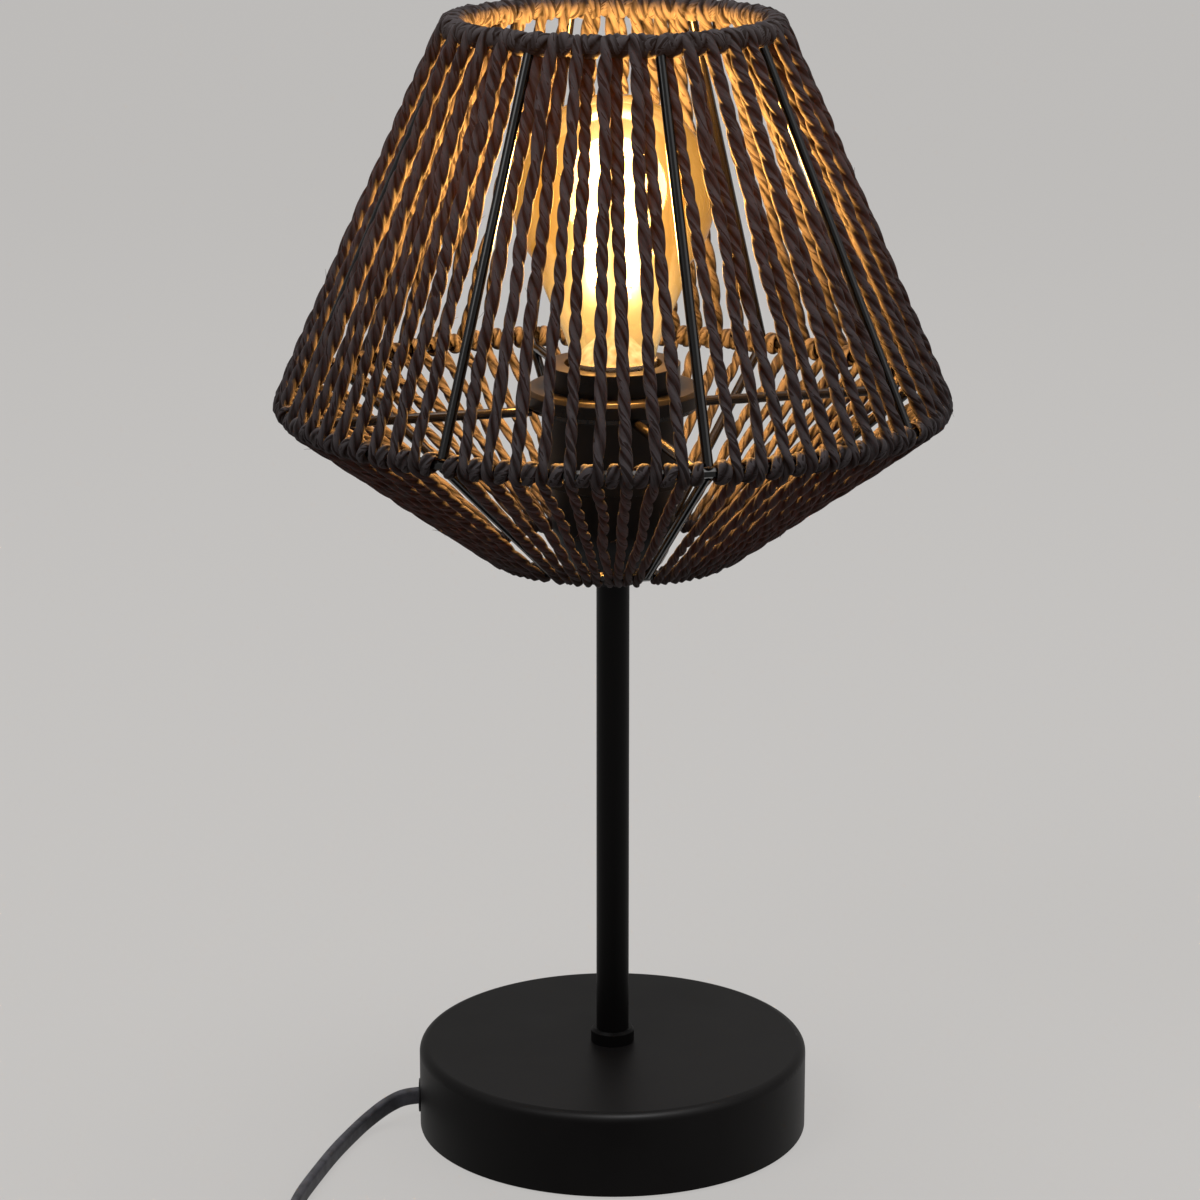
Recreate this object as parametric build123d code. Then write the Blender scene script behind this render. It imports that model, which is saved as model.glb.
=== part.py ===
from build123d import *
import os
from math import asin, atan2, cos, degrees, hypot, pi, radians, sin, sqrt, tan

# Bedside lamp: a heavy round base, a thin stem, a screw lampholder with its bulb, and a shade
# of paper cord strung on a wire frame.  Millimetres, +Z up, origin under the middle of the base.

# Fits shared by several pieces
TOUCH = 0.02            # radial room of a bore on the piece that it is pushed over
REST_GAP = 0.25         # room left where a soft or welded end lies against its seat
MOVE_GAP = 0.3          # room between pieces that move past each other

# Base
BASE_R = 60.0
BASE_TOP = 27.0
BASE_EDGE = 2.7         # rounding of the upper edge
BASE_WALL = 1.2
BASE_RIM_Z = 0.8        # the cup's rim stands this far off the table
PAD_R = 56.0
PAD_T = 1.5
PLATE_T = 1.2
WEIGHT_T = 11.6
WEIGHT_GAP = 0.4
WEIGHT_EDGE = 2.0
POCKET_R = 14.0
POCKET_DEPTH = 5.0

# Stem, its collar and the nut under the weight
STEM_R = 5.0
STEM_WALL = 1.0
STEM_GRIP = 11.0        # length of stem inside the lampholder
COLLAR_R = 6.7
COLLAR_H = 4.5
COLLAR_EDGE = 0.8
WASHER_R = 9.5
WASHER_T = 1.5
NUT_FLATS = 14.0
NUT_T = 4.0
STEM_TAIL = 0.5         # thread left below the nut

# Flat twin flex
CORD_WIDE = 5.4
CORD_THIN = 3.2
CORD_FIT = 0.1          # room round the flex in a slot
LAY_GAP = 0.05          # room under the flex where it lies on the table
BEND_SHARE = 0.45       # of the shorter run beside it that a bend takes up
EXIT_Z = 8.5
JOIN_BEHIND = 3.5       # the flex is in two lengths, which meet this far inside the base's side
INNER_BEND_R = 7.0
INNER_END = 2.5         # the inner flex ends this far under the terminals

# Where the flex leaves the base
GROMMET_NECK_R = 4.4
GROMMET_LIP_R = 5.2
GROMMET_LIP_T = 0.4
GROMMET_BACK_T = 1.5
ANCHOR_X = -32.0
ANCHOR_LONG = 8.0
ANCHOR_WIDE = 18.0
ANCHOR_T = 1.6

# Lampholder, upwards from its neck
HOLDER_BOTTOM = 175.0
NECK_R = 7.6
NECK_H = 2.0
DOME_R = 18.2
DOME_H = 17.0           # from the neck's foot to the top of the dome
DOME_STEPS = 6
CAP_R = 19.2
CAP_H = 31.0
CAP_WALL = 2.4
BODY_R = 21.0
SKIRT_H = 22.6          # of the body below the shoulder that carries the shade
THREAD_R = 20.0
MOUTH_H = 13.4          # of the threaded mouth above the shoulder
SOCKET_R = 14.6
INSERT_R = 17.0
INSERT_T = 6.8
SHELL_WALL = 0.7
SHELL_DROP = 4.0        # of the screw shell below the mouth's rim
TONGUE_WIDE = 6.0
TONGUE_T = 0.5
TONGUE_REACH = 8.0
TONGUE_RISE = 2.6
TERMINAL_SIDE = 5.0
TERMINAL_H = 6.5
TERMINAL_OUT = 9.5      # of each terminal's middle, from the axis

# Clamp ring, and the shade's fitter ring that it presses on the holder's shoulder
CLAMP_R = 26.5
CLAMP_H = 4.8
CLAMP_EDGE = 1.2
FITTER_R = 25.0
FITTER_T = 1.6

# Shade frame: radius of each ring's wire, and its height above the shoulder that carries the shade
TOP_RING_R = 47.2
TOP_RING_RISE = 112.8
MID_RING_R = 97.2
MID_RING_RISE = 2.15
LOW_RING_R = 36.0
LOW_RING_RISE = -43.0
WIRE_R = 1.5
RIBS = 8
RIB_START = 15.5        # degrees from the front, towards the right
SPOKES = 4
WELD_GAP = 0.2

# Paper cord: wound round the rings, and strung between them
WRAP_R = 3.15
WRAP_CHORDS = 4         # straight stretches of winding from rib to rib
STRANDS_PER_PANEL = 9
STRAND_R = 1.75
STRAND_LOW_R = 1.32     # where the strands crowd at the bottom ring
STRAND_PROUD = 1.2      # the strands pass this far outside the rings' wire
CORD_SIDES = 6

# Bulb
BULB_R = 30.0
BULB_LONG = 106.0       # from its button to its top
GLASS_WALL = 0.9
GLASS_STEPS = 8         # facets of the round part, from neck to top
GLASS_NECK_R = 12.6
GLASS_THROAT_R = 16.5
GLASS_THROAT_H = 12.8   # of the throat above the cap
ROUND_FROM = -42.0      # degrees below the widest place, where the neck meets the round part
BULB_CAP_R = 13.1
BULB_CAP_WALL = 0.6
BULB_CAP_H = 24.2
INSULATOR_R = 8.0
INSULATOR_H = 2.4
BUTTON_R = 4.8
BUTTON_T = 0.9
MOUNT_STEM_R = 2.6
MOUNT_H = 63.0
FILAMENTS = 4
FILAMENT_R = 0.9
FILAMENT_FOOT = 23.0    # of the rods' lower ends above the cap
FILAMENT_H = 37.0
FILAMENT_OUT_LOW = 7.5
FILAMENT_OUT_TOP = 5.0
LEAD_R = 0.4

# In-line switch: lies on the table with its length along X
SWITCH_X = -6.0
SWITCH_Y = -114.5
SWITCH_LONG = 60.0
SWITCH_WIDE = 24.0
SWITCH_H = 15.0
SWITCH_SPLIT = 7.0
SWITCH_CORNER = 7.0
SWITCH_EDGE = 2.0
SWITCH_WALL = 2.0
SWITCH_END_WALL = 7.0
ROCKER_LONG = 18.0
ROCKER_WIDE = 10.0
ROCKER_END_H = 5.2      # of its ends, above the pivot
ROCKER_DIP_H = 3.6      # of its middle
ROCKER_BELOW = 2.6
ROCKER_TILT = 9.0       # degrees each way
PIVOT_Z = 11.0
PIVOT_R = 1.4
PIVOT_FIT = 0.06
CHEEK_T = 2.0
CHEEK_R = 2.6
CONTACT_OUT = 13.0
CONTACT_SIDE = 5.0

# Coil of spare flex, its tie, and the plug
COIL_X = 62.0
COIL_R = 35.0           # outermost turn
COIL_TURNS = 4          # in each of the two layers
TURN_STEP = 3.8         # from turn to turn
LAYER_STEP = 6.4
COIL_DIP = 0.6          # the climbing turn draws in by this share of a step
TURN_NUDGE = 0.001      # of a turn, either side of where the coil's heading is taken
PROBE_STEP = 2.0        # between the points that measure the coil's gap to itself
TIE_ALONG = 8.0
TIE_T = 0.8
TIE_ROOM = 0.8          # beside the curving turns
TIE_UNDER = 0.3
PLUG_GAP = 34.0         # from the coil's middle to the plug's flex end
PLUG_FACE_WIDE = 35.0
PLUG_FACE_T = 13.7
PLUG_BACK_WIDE = 15.0
PLUG_BACK_T = 11.0
PLUG_LONG = 34.0
PLUG_CORNER = 4.5
RELIEF_LONG = 22.0
RELIEF_WIDE = 9.6
RELIEF_T = 8.0
RELIEF_END = 1.2        # thickness of the strain relief round the flex at its tip
PIN_R = 2.0
PIN_NECK_R = 1.4
PIN_BARE = 9.0
PIN_SLEEVE = 10.0
PIN_PITCH = 18.6

# Heights and places that follow from the sizes above
FLOOR_Z = CORD_WIDE / 2 + LAY_GAP
JOIN_X = JOIN_BEHIND - BASE_R
WEIGHT_TOP = BASE_TOP - BASE_WALL
WEIGHT_BOTTOM = WEIGHT_TOP - WEIGHT_T
POCKET_TOP = WEIGHT_BOTTOM + POCKET_DEPTH
NUT_TOP = POCKET_TOP - WASHER_T
STEM_BOTTOM = NUT_TOP - NUT_T - STEM_TAIL
STEM_TOP = HOLDER_BOTTOM + STEM_GRIP
DOME_TOP = HOLDER_BOTTOM + DOME_H
CAP_TOP = HOLDER_BOTTOM + CAP_H
INNER_TOP = CAP_TOP - TERMINAL_H - INNER_END
SHOULDER_Z = CAP_TOP + SKIRT_H
RIM_Z = SHOULDER_Z + MOUTH_H
SHELL_TOP = RIM_Z - SHELL_DROP
INSERT_TOP = CAP_TOP + INSERT_T
FITTER_TOP = SHOULDER_Z + FITTER_T
SPOKE_Z = FITTER_TOP - WIRE_R
TOP_RING_Z = SHOULDER_Z + TOP_RING_RISE
MID_RING_Z = SHOULDER_Z + MID_RING_RISE
LOW_RING_Z = SHOULDER_Z + LOW_RING_RISE
PANEL = 360 / RIBS
STRAND_PITCH = PANEL / (STRANDS_PER_PANEL + 1)
BUTTON_BOTTOM = INSERT_TOP + TONGUE_RISE + MOVE_GAP
INSULATOR_BOTTOM = BUTTON_BOTTOM + BUTTON_T
BULB_CAP_BOTTOM = INSULATOR_BOTTOM + INSULATOR_H
BULB_CAP_TOP = BULB_CAP_BOTTOM + BULB_CAP_H
GLASS_THROAT_Z = BULB_CAP_TOP + GLASS_THROAT_H
BULB_MIDDLE_Z = BUTTON_BOTTOM + BULB_LONG - BULB_R
MOUNT_TOP = BULB_CAP_TOP + MOUNT_H
FILAMENT_BOTTOM = BULB_CAP_TOP + FILAMENT_FOOT
FILAMENT_TOP = FILAMENT_BOTTOM + FILAMENT_H
SWITCH_LEFT = SWITCH_X - SWITCH_LONG / 2
SWITCH_RIGHT = SWITCH_X + SWITCH_LONG / 2
COIL_Y = SWITCH_Y - COIL_R
COIL_Z = FLOOR_Z + TIE_T + TIE_UNDER
COIL_INNER_R = COIL_R - COIL_TURNS * TURN_STEP
TAIL_Y = COIL_Y - COIL_R
TAIL_Z = COIL_Z + LAYER_STEP
PLUG_Z = PLUG_FACE_T / 2

# Free flex from the base to the switch, along the table: points chosen by hand
LEAD_ROUTE = [
    (JOIN_X, 0.0, EXIT_Z),
    (-BASE_R - 3.6, 0.0, EXIT_Z),
    (-BASE_R - 10.0, -2.4, 6.4),
    (-BASE_R - 16.4, -9.0, 3.6),
    (-BASE_R - 21.0, -19.5, FLOOR_Z),
    (-BASE_R - 25.2, -32.5, FLOOR_Z),
    (-BASE_R - 29.2, -48.0, FLOOR_Z),
    (-BASE_R - 33.2, -64.5, FLOOR_Z),
    (-BASE_R - 35.0, -80.0, FLOOR_Z),
    (-BASE_R - 30.0, -96.0, FLOOR_Z),
    (SWITCH_LEFT - 42.0, SWITCH_Y + 6.5, 3.2),
    (SWITCH_LEFT - 26.0, SWITCH_Y + 1.0, 5.2),
    (SWITCH_LEFT - 10.0, SWITCH_Y, SWITCH_SPLIT),
    (SWITCH_LEFT, SWITCH_Y, SWITCH_SPLIT),
]

# From the switch to the coil
LINK_ROUTE = [
    (SWITCH_RIGHT, SWITCH_Y, SWITCH_SPLIT),
    (SWITCH_RIGHT + 7.5, SWITCH_Y, SWITCH_SPLIT),
    (COIL_X - 16.0, SWITCH_Y, COIL_Z),
    (COIL_X - CORD_WIDE, SWITCH_Y, COIL_Z),
]

# From the coil to the plug
TAIL_ROUTE = [
    (COIL_X - CORD_WIDE, TAIL_Y, TAIL_Z),
    (COIL_X - 13.0, TAIL_Y, TAIL_Z),
    (COIL_X - 25.0, TAIL_Y, PLUG_Z),
    (COIL_X - PLUG_GAP, TAIL_Y, PLUG_Z),
]

BOTTOM_UP = (Align.CENTER, Align.CENTER, Align.MIN)
TOP_DOWN = (Align.CENTER, Align.CENTER, Align.MAX)


def save(node, shape):
    """Writes one piece, or a list of like pieces, as one file."""
    if isinstance(shape, list):
        shape = Compound(children=[solid for part in shape for solid in part.solids()])
    export_step(shape, f"parts/{node}.step")


def turned(*points):
    """Face between (radius, height) points, spun about the lamp's axis."""
    return revolve(Plane.XZ * make_face(Polyline(*points, close=True)), Axis.Z)


def tube(outer, inner, low, high):
    """Ring or pipe about the lamp's axis."""
    return turned((inner, low), (outer, low), (outer, high), (inner, high))


def around(shape, angle):
    """The shape turned about the axis, by degrees from the front towards the right."""
    return Rot(0, 0, angle) * shape


def front(radius, height):
    """Point straight in front of the axis."""
    return Vector(0, -radius, height)


def rod(start, end, radius):
    """Round wire between two points."""
    along = end - start
    return Plane(start, z_dir=along) * Cylinder(radius, along.length, align=BOTTOM_UP)


def flex_section(point, along, up=(0, 0, 1)):
    """Section of the flat flex, standing on its edge."""
    side = Vector(*up).cross(along)
    return Plane(point, x_dir=side, z_dir=along) * Rectangle(CORD_THIN, CORD_WIDE)


def swept_flex(name, path, guide=None):
    """Flex along a path, edge towards the guide; prints its volume against section times length."""
    solid = sweep(flex_section(path @ 0, path % 0), path=path, binormal=guide)
    plain = CORD_THIN * CORD_WIDE * path.length
    print(name, "length", round(path.length, 1), "volume share", round(solid.volume / plain, 4))
    return solid


def laid_flex(name, route):
    """Flex along straight runs and arcs as wide as the runs leave room for."""
    points = [Vector(*point) for point in route]
    runs = [b - a for a, b in zip(points, points[1:])]
    radii = []
    for run, following in zip(runs, runs[1:]):
        half_turn = radians(run.get_angle(following)) / 2
        radii.append(BEND_SHARE * min(run.length, following.length) / tan(half_turn))
    print(name, "bend radii", [round(radius, 1) for radius in radii])
    path = FilletPolyline(*points, radius=radii)
    return swept_flex(name, path, above(path))


def above(path):
    """The same path some way higher, which keeps the flex standing on its edge."""
    return Pos(0, 0, 4 * CORD_WIDE) * path


# Base

def base_shell():
    inner_r = BASE_R - BASE_WALL
    hole_r = STEM_R + TOUCH
    outline = make_face(Polyline(
        (hole_r, BASE_TOP), (BASE_R, BASE_TOP), (BASE_R, BASE_RIM_Z), (inner_r, BASE_RIM_Z),
        (inner_r, WEIGHT_TOP), (hole_r, WEIGHT_TOP), close=True))
    outline = fillet(outline.vertices().sort_by_distance((BASE_R, BASE_TOP))[0], BASE_EDGE)
    outline = chamfer(outline.vertices().sort_by_distance((inner_r, WEIGHT_TOP))[0], BASE_EDGE - BASE_WALL)
    cup = revolve(Plane.XZ * outline, Axis.Z)
    side_hole = Pos(-BASE_R, 0, EXIT_Z) * Rot(0, 90, 0) * Cylinder(GROMMET_NECK_R + TOUCH, 3 * BASE_WALL)
    return cup - side_hole


def base_weight():
    radius = BASE_R - BASE_WALL - WEIGHT_GAP
    hole_r = STEM_R + TOUCH
    return turned(
        (hole_r, WEIGHT_TOP), (radius - WEIGHT_EDGE, WEIGHT_TOP), (radius, WEIGHT_TOP - WEIGHT_EDGE),
        (radius, WEIGHT_BOTTOM), (POCKET_R, WEIGHT_BOTTOM), (POCKET_R, POCKET_TOP), (hole_r, POCKET_TOP))


def cord_grommet():
    """Rubber bush in the cup's side, with a slot for the flex."""
    wall_in = -sqrt((BASE_R - BASE_WALL) ** 2 - GROMMET_LIP_R ** 2)
    lip_x = -BASE_R - GROMMET_LIP_T
    lip = Pos(lip_x, 0, EXIT_Z) * Rot(0, 90, 0) * Cylinder(GROMMET_LIP_R, GROMMET_LIP_T, align=BOTTOM_UP)
    neck = Pos(-BASE_R, 0, EXIT_Z) * Rot(0, 90, 0) * Cylinder(
        GROMMET_NECK_R, wall_in + BASE_R, align=BOTTOM_UP)
    back = Pos(wall_in, 0, EXIT_Z) * Rot(0, 90, 0) * Cylinder(
        GROMMET_LIP_R, GROMMET_BACK_T, align=BOTTOM_UP)
    bush = lip + neck + back
    slot_side = CORD_WIDE + 2 * CORD_FIT
    return bush - Pos(-BASE_R, 0, EXIT_Z) * Box(4 * GROMMET_LIP_R, CORD_THIN + 2 * CORD_FIT, slot_side)


def cord_anchor():
    """Saddle that holds the flex up against the weight."""
    low = EXIT_Z - CORD_WIDE / 2 - CORD_FIT - ANCHOR_T
    saddle = Pos(ANCHOR_X, 0, low) * Box(ANCHOR_LONG, ANCHOR_WIDE, WEIGHT_BOTTOM - low, align=BOTTOM_UP)
    return saddle - Pos(ANCHOR_X, 0, EXIT_Z) * Box(
        2 * ANCHOR_LONG, CORD_THIN + 2 * CORD_FIT, CORD_WIDE + 2 * CORD_FIT)


def inner_flex():
    """Flex from the grommet, along the base and up the stem."""
    start = Vector(JOIN_X, 0, EXIT_Z)
    corner = Vector(0, 0, EXIT_Z)
    end = Vector(0, 0, INNER_TOP)
    path = FilletPolyline(start, corner, end, radius=INNER_BEND_R)
    return swept_flex("inner_flex", path)


def stem_nut():
    hexagon = RegularPolygon(NUT_FLATS / 2, 6, major_radius=False)
    nut = Pos(0, 0, NUT_TOP - NUT_T) * extrude(hexagon, NUT_T)
    return nut - Cylinder(STEM_R + TOUCH, 2 * NUT_TOP)


def stem_collar():
    bore = STEM_R + TOUCH
    top = BASE_TOP + COLLAR_H
    return turned(
        (bore, BASE_TOP), (COLLAR_R, BASE_TOP), (COLLAR_R, top - COLLAR_EDGE), (COLLAR_R - COLLAR_EDGE, top),
        (bore, top))


def build_base():
    save("base_shell", base_shell())
    save("base_weight", base_weight())
    plate_r = BASE_R - BASE_WALL - TOUCH
    save("base_plate", Pos(0, 0, PAD_T) * Cylinder(plate_r, PLATE_T, align=BOTTOM_UP))
    save("base_pad", Cylinder(PAD_R, PAD_T, align=BOTTOM_UP))
    save("cord_grommet", cord_grommet())
    save("cord_anchor", cord_anchor())
    save("stem_tube", tube(STEM_R, STEM_R - STEM_WALL, STEM_BOTTOM, STEM_TOP))
    save("stem_collar", stem_collar())
    save("stem_washer", tube(WASHER_R, STEM_R + TOUCH, NUT_TOP, POCKET_TOP))
    save("stem_nut", stem_nut())
    save("inner_flex", inner_flex())


# Lampholder

def holder_cap():
    """Domed cap that screws on the stem."""
    bore = STEM_R + TOUCH
    neck_top = HOLDER_BOTTOM + NECK_H
    inside_r = DOME_R - CAP_WALL
    turns = [pi / 2 * k / DOME_STEPS for k in range(DOME_STEPS + 1)]
    dome = [
        (NECK_R + (DOME_R - NECK_R) * sin(turn), DOME_TOP - (DOME_TOP - neck_top) * cos(turn))
        for turn in turns]
    return turned(
        (bore, HOLDER_BOTTOM), (NECK_R, HOLDER_BOTTOM), *dome, (CAP_R, CAP_TOP), (inside_r, CAP_TOP),
        (inside_r, DOME_TOP), (bore, STEM_TOP))


def holder_body():
    """Plastic body: a smooth skirt, a shoulder for the shade, and the threaded mouth."""
    cavity_r = INSERT_R + TOUCH
    return turned(
        (SOCKET_R, RIM_Z), (THREAD_R, RIM_Z), (THREAD_R, SHOULDER_Z), (BODY_R, SHOULDER_Z),
        (BODY_R, CAP_TOP), (cavity_r, CAP_TOP), (cavity_r, INSERT_TOP), (SOCKET_R, INSERT_TOP))


def centre_contact():
    """Sprung tongue that meets the bulb's button."""
    low = INSERT_TOP
    crest = low + TONGUE_RISE
    side = make_face(Polyline(
        (-TONGUE_REACH, low), (-TONGUE_REACH / 2, low),
        (-TONGUE_T, crest - TONGUE_T), (TONGUE_T, crest - TONGUE_T),
        (TONGUE_REACH / 2, low + TONGUE_T), (TONGUE_REACH / 2, low + 2 * TONGUE_T), (2 * TONGUE_T, crest),
        (-2 * TONGUE_T, crest), (-TONGUE_REACH / 2, low + TONGUE_T),
        (-TONGUE_REACH, low + TONGUE_T), close=True))
    return extrude(Plane.XZ * side, TONGUE_WIDE / 2, both=True)


def clamp_ring():
    top = FITTER_TOP + CLAMP_H
    bore = THREAD_R + TOUCH
    return turned(
        (bore, FITTER_TOP), (CLAMP_R, FITTER_TOP), (CLAMP_R, top - CLAMP_EDGE),
        (CLAMP_R - CLAMP_EDGE, top), (bore, top))


def build_holder():
    save("holder_cap", holder_cap())
    save("holder_body", holder_body())
    insert = Pos(0, 0, CAP_TOP) * Cylinder(INSERT_R, INSERT_T, align=BOTTOM_UP)
    save("holder_insert", insert)
    shell_r = SOCKET_R - TOUCH
    save("screw_shell", tube(shell_r, shell_r - SHELL_WALL, INSERT_TOP, SHELL_TOP))
    save("centre_contact", centre_contact())
    block = Box(TERMINAL_SIDE, TERMINAL_SIDE, TERMINAL_H, align=TOP_DOWN)
    save("terminals", [Pos(side * TERMINAL_OUT, 0, CAP_TOP) * block for side in (-1, 1)])
    save("clamp_ring", clamp_ring())


# Shade

def vertex_angles(radius):
    """Degrees at which the winding of one panel bends, from rib to rib of a ring."""
    rib_half = degrees(asin((WIRE_R + REST_GAP) / radius))
    step = (PANEL - 2 * rib_half) / WRAP_CHORDS
    return [RIB_START + rib_half + step * k for k in range(WRAP_CHORDS + 1)]


def ring_section(radius, height, angle, size):
    """Section of a wire or winding across a ring."""
    upright = Plane.XZ.rotated((0, 0, -90))
    return around(upright * Pos(radius, height) * RegularPolygon(size, CORD_SIDES), angle)


def ring_wire(radius, height):
    """Wire hoop, straight between the places where the winding bends."""
    angles = [angle + PANEL * k for k in range(RIBS) for angle in vertex_angles(radius)]
    points = [front(radius, height).rotate(Axis.Z, angle) for angle in angles]
    path = Polyline(*points, close=True)
    section = Plane(path @ 0, x_dir=(0, 0, 1), z_dir=path % 0) * RegularPolygon(WIRE_R, CORD_SIDES)
    return sweep(section, path=path, transition=Transition.RIGHT)


def ring_wraps(radius, height):
    """Paper cord wound on a ring: one sleeve from each rib to the next."""
    angles = vertex_angles(radius)
    sleeve = loft([ring_section(radius, height, angle, WRAP_R) for angle in angles], ruled=True)
    bore_r = WIRE_R + REST_GAP
    end = angles[0] - angles[1]
    longer = [angles[0] + end, *angles, angles[-1] - end]
    bore = loft([ring_section(radius, height, angle, bore_r) for angle in longer], ruled=True)
    return [around(sleeve - bore, PANEL * k) for k in range(RIBS)]


def strand(high, low, high_r, low_r):
    """One straight strand from ring to ring, ending just clear of both windings."""
    along = (low - high).normalized()
    outward = Vector(0, -1, 0) - along * Vector(0, -1, 0).dot(along)
    shift = outward.normalized() * STRAND_PROUD
    clear = WRAP_R + REST_GAP
    ends = [(high + along * clear + shift, high_r), (low - along * clear + shift, low_r)]
    return loft([
        Plane(point, x_dir=(1, 0, 0), z_dir=along) * RegularPolygon(radius, CORD_SIDES)
        for point, radius in ends])


def strands(high, low, high_r, low_r):
    """All strands between two rings, missing out the places of the ribs."""
    first = strand(high, low, high_r, low_r)
    places = [k for k in range(RIBS * (STRANDS_PER_PANEL + 1)) if k % (STRANDS_PER_PANEL + 1)]
    return [around(first, RIB_START + STRAND_PITCH * k) for k in places]


def ribs(high, low):
    """Wires welded from ring to ring."""
    along = (low - high).normalized() * (WIRE_R + WELD_GAP)
    first = rod(high + along, low - along, WIRE_R)
    return [around(first, RIB_START + PANEL * k) for k in range(RIBS)]


def spokes(mid, low):
    """Wires from the fitter ring to the lower ribs, just inside the middle ring."""
    slope = atan2(mid.Z - low.Z, low.Y - mid.Y)
    rib_r = MID_RING_R - (mid.Z - SPOKE_Z) / tan(slope)
    end_r = rib_r - (WIRE_R * (1 + cos(slope)) + WELD_GAP) / sin(slope)
    first = rod(front(FITTER_R + WELD_GAP, SPOKE_Z), front(end_r, SPOKE_Z), WIRE_R)
    return [around(first, RIB_START + 360 / SPOKES * k) for k in range(SPOKES)]


def build_shade():
    rings = [(TOP_RING_R, TOP_RING_Z), (MID_RING_R, MID_RING_Z), (LOW_RING_R, LOW_RING_Z)]
    high, mid, low = [front(*ring) for ring in rings]
    for name, ring in zip(("top", "middle", "bottom"), rings):
        save(f"{name}_ring", ring_wire(*ring))
        save(f"{name}_wrap", ring_wraps(*ring))
    save("upper_ribs", ribs(high, mid))
    save("lower_ribs", ribs(mid, low))
    save("spokes", spokes(mid, low))
    save("fitter_ring", tube(FITTER_R, THREAD_R + MOVE_GAP, SHOULDER_Z, FITTER_TOP))
    save("upper_strands", strands(high, mid, STRAND_R, STRAND_R))
    save("lower_strands", strands(mid, low, STRAND_R, STRAND_LOW_R))


# Bulb

def round_part(radius):
    """Points up the round part of the bulb, from the neck to the top."""
    step = (90 - ROUND_FROM) / GLASS_STEPS
    angles = [radians(ROUND_FROM + step * k) for k in range(GLASS_STEPS)]
    points = [(radius * cos(angle), BULB_MIDDLE_Z + radius * sin(angle)) for angle in angles]
    return points + [(0, BULB_MIDDLE_Z + radius)]


def bulb_glass():
    outside = [(GLASS_NECK_R, BULB_CAP_TOP), (GLASS_THROAT_R, GLASS_THROAT_Z), *round_part(BULB_R)]
    inside = [
        (GLASS_NECK_R - GLASS_WALL, BULB_CAP_TOP), (GLASS_THROAT_R - GLASS_WALL, GLASS_THROAT_Z),
        *round_part(BULB_R - GLASS_WALL)]
    return turned(*outside, *reversed(inside))


def bulb_cap():
    """Screw cap: a thin cup, crimped in at its foot."""
    inner_r = BULB_CAP_R - BULB_CAP_WALL
    foot_r = INSULATOR_R + TOUCH
    shoulder = BULB_CAP_BOTTOM + BULB_CAP_R - INSULATOR_R
    return turned(
        (foot_r, BULB_CAP_BOTTOM), (BULB_CAP_R, shoulder),
        (BULB_CAP_R, BULB_CAP_TOP), (inner_r, BULB_CAP_TOP),
        (inner_r, shoulder + BULB_CAP_WALL), (foot_r, BULB_CAP_BOTTOM + 2 * BULB_CAP_WALL))


def bulb_insulator():
    top = BULB_CAP_BOTTOM + BULB_CAP_WALL
    return turned(
        (0, INSULATOR_BOTTOM), (BUTTON_R, INSULATOR_BOTTOM), (INSULATOR_R, BULB_CAP_BOTTOM),
        (INSULATOR_R, top), (0, top))


def glass_mount():
    """Flared glass pillar that carries the filaments."""
    foot_r = GLASS_NECK_R - GLASS_WALL - TOUCH
    flare = BULB_CAP_TOP + foot_r - MOUNT_STEM_R
    return turned(
        (0, BULB_CAP_TOP), (foot_r, BULB_CAP_TOP), (MOUNT_STEM_R, flare),
        (MOUNT_STEM_R, MOUNT_TOP), (0, MOUNT_TOP))


def filament_parts():
    """Glowing rods, and the wires that hold each rod's two ends to the pillar."""
    low = front(FILAMENT_OUT_LOW, FILAMENT_BOTTOM)
    high = front(FILAMENT_OUT_TOP, FILAMENT_TOP)
    along = (high - low).normalized() * (LEAD_R + WELD_GAP)
    root = MOUNT_STEM_R + WELD_GAP
    glow = rod(low, high, FILAMENT_R)
    leads = [
        rod(front(root, low.Z - along.Z), front(FILAMENT_OUT_LOW, low.Z - along.Z), LEAD_R),
        rod(front(root, high.Z + along.Z), front(FILAMENT_OUT_TOP, high.Z + along.Z), LEAD_R)]
    turns = [360 / FILAMENTS * (k + 0.5) for k in range(FILAMENTS)]
    return [around(glow, turn) for turn in turns], [around(lead, turn) for turn in turns for lead in leads]


def build_bulb():
    save("bulb_glass", bulb_glass())
    save("bulb_cap", bulb_cap())
    save("bulb_insulator", bulb_insulator())
    save("bulb_button", Pos(0, 0, BUTTON_BOTTOM) * Cylinder(BUTTON_R, BUTTON_T - TOUCH, align=BOTTOM_UP))
    save("glass_mount", glass_mount())
    filaments, leads = filament_parts()
    save("filaments", filaments)
    save("filament_wires", leads)


# Switch on the flex

def switch_half(height):
    """Outside of one housing, its split face at z = 0, and the hollow in it."""
    outline = RectangleRounded(SWITCH_LONG, SWITCH_WIDE, SWITCH_CORNER)
    block = extrude(outline, height)
    block = chamfer(block.edges().group_by(Axis.Z)[-1], SWITCH_EDGE)
    hollow = Box(
        SWITCH_LONG - 2 * SWITCH_END_WALL, SWITCH_WIDE - 2 * SWITCH_WALL, height - SWITCH_WALL,
        align=BOTTOM_UP)
    slot = Box(2 * SWITCH_LONG, CORD_THIN + 2 * CORD_FIT, CORD_WIDE + 2 * CORD_FIT)
    return block - hollow - slot


def switch_lower():
    half = Rot(180, 0, 0) * switch_half(SWITCH_SPLIT)
    return Pos(SWITCH_X, SWITCH_Y, SWITCH_SPLIT) * half


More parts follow.
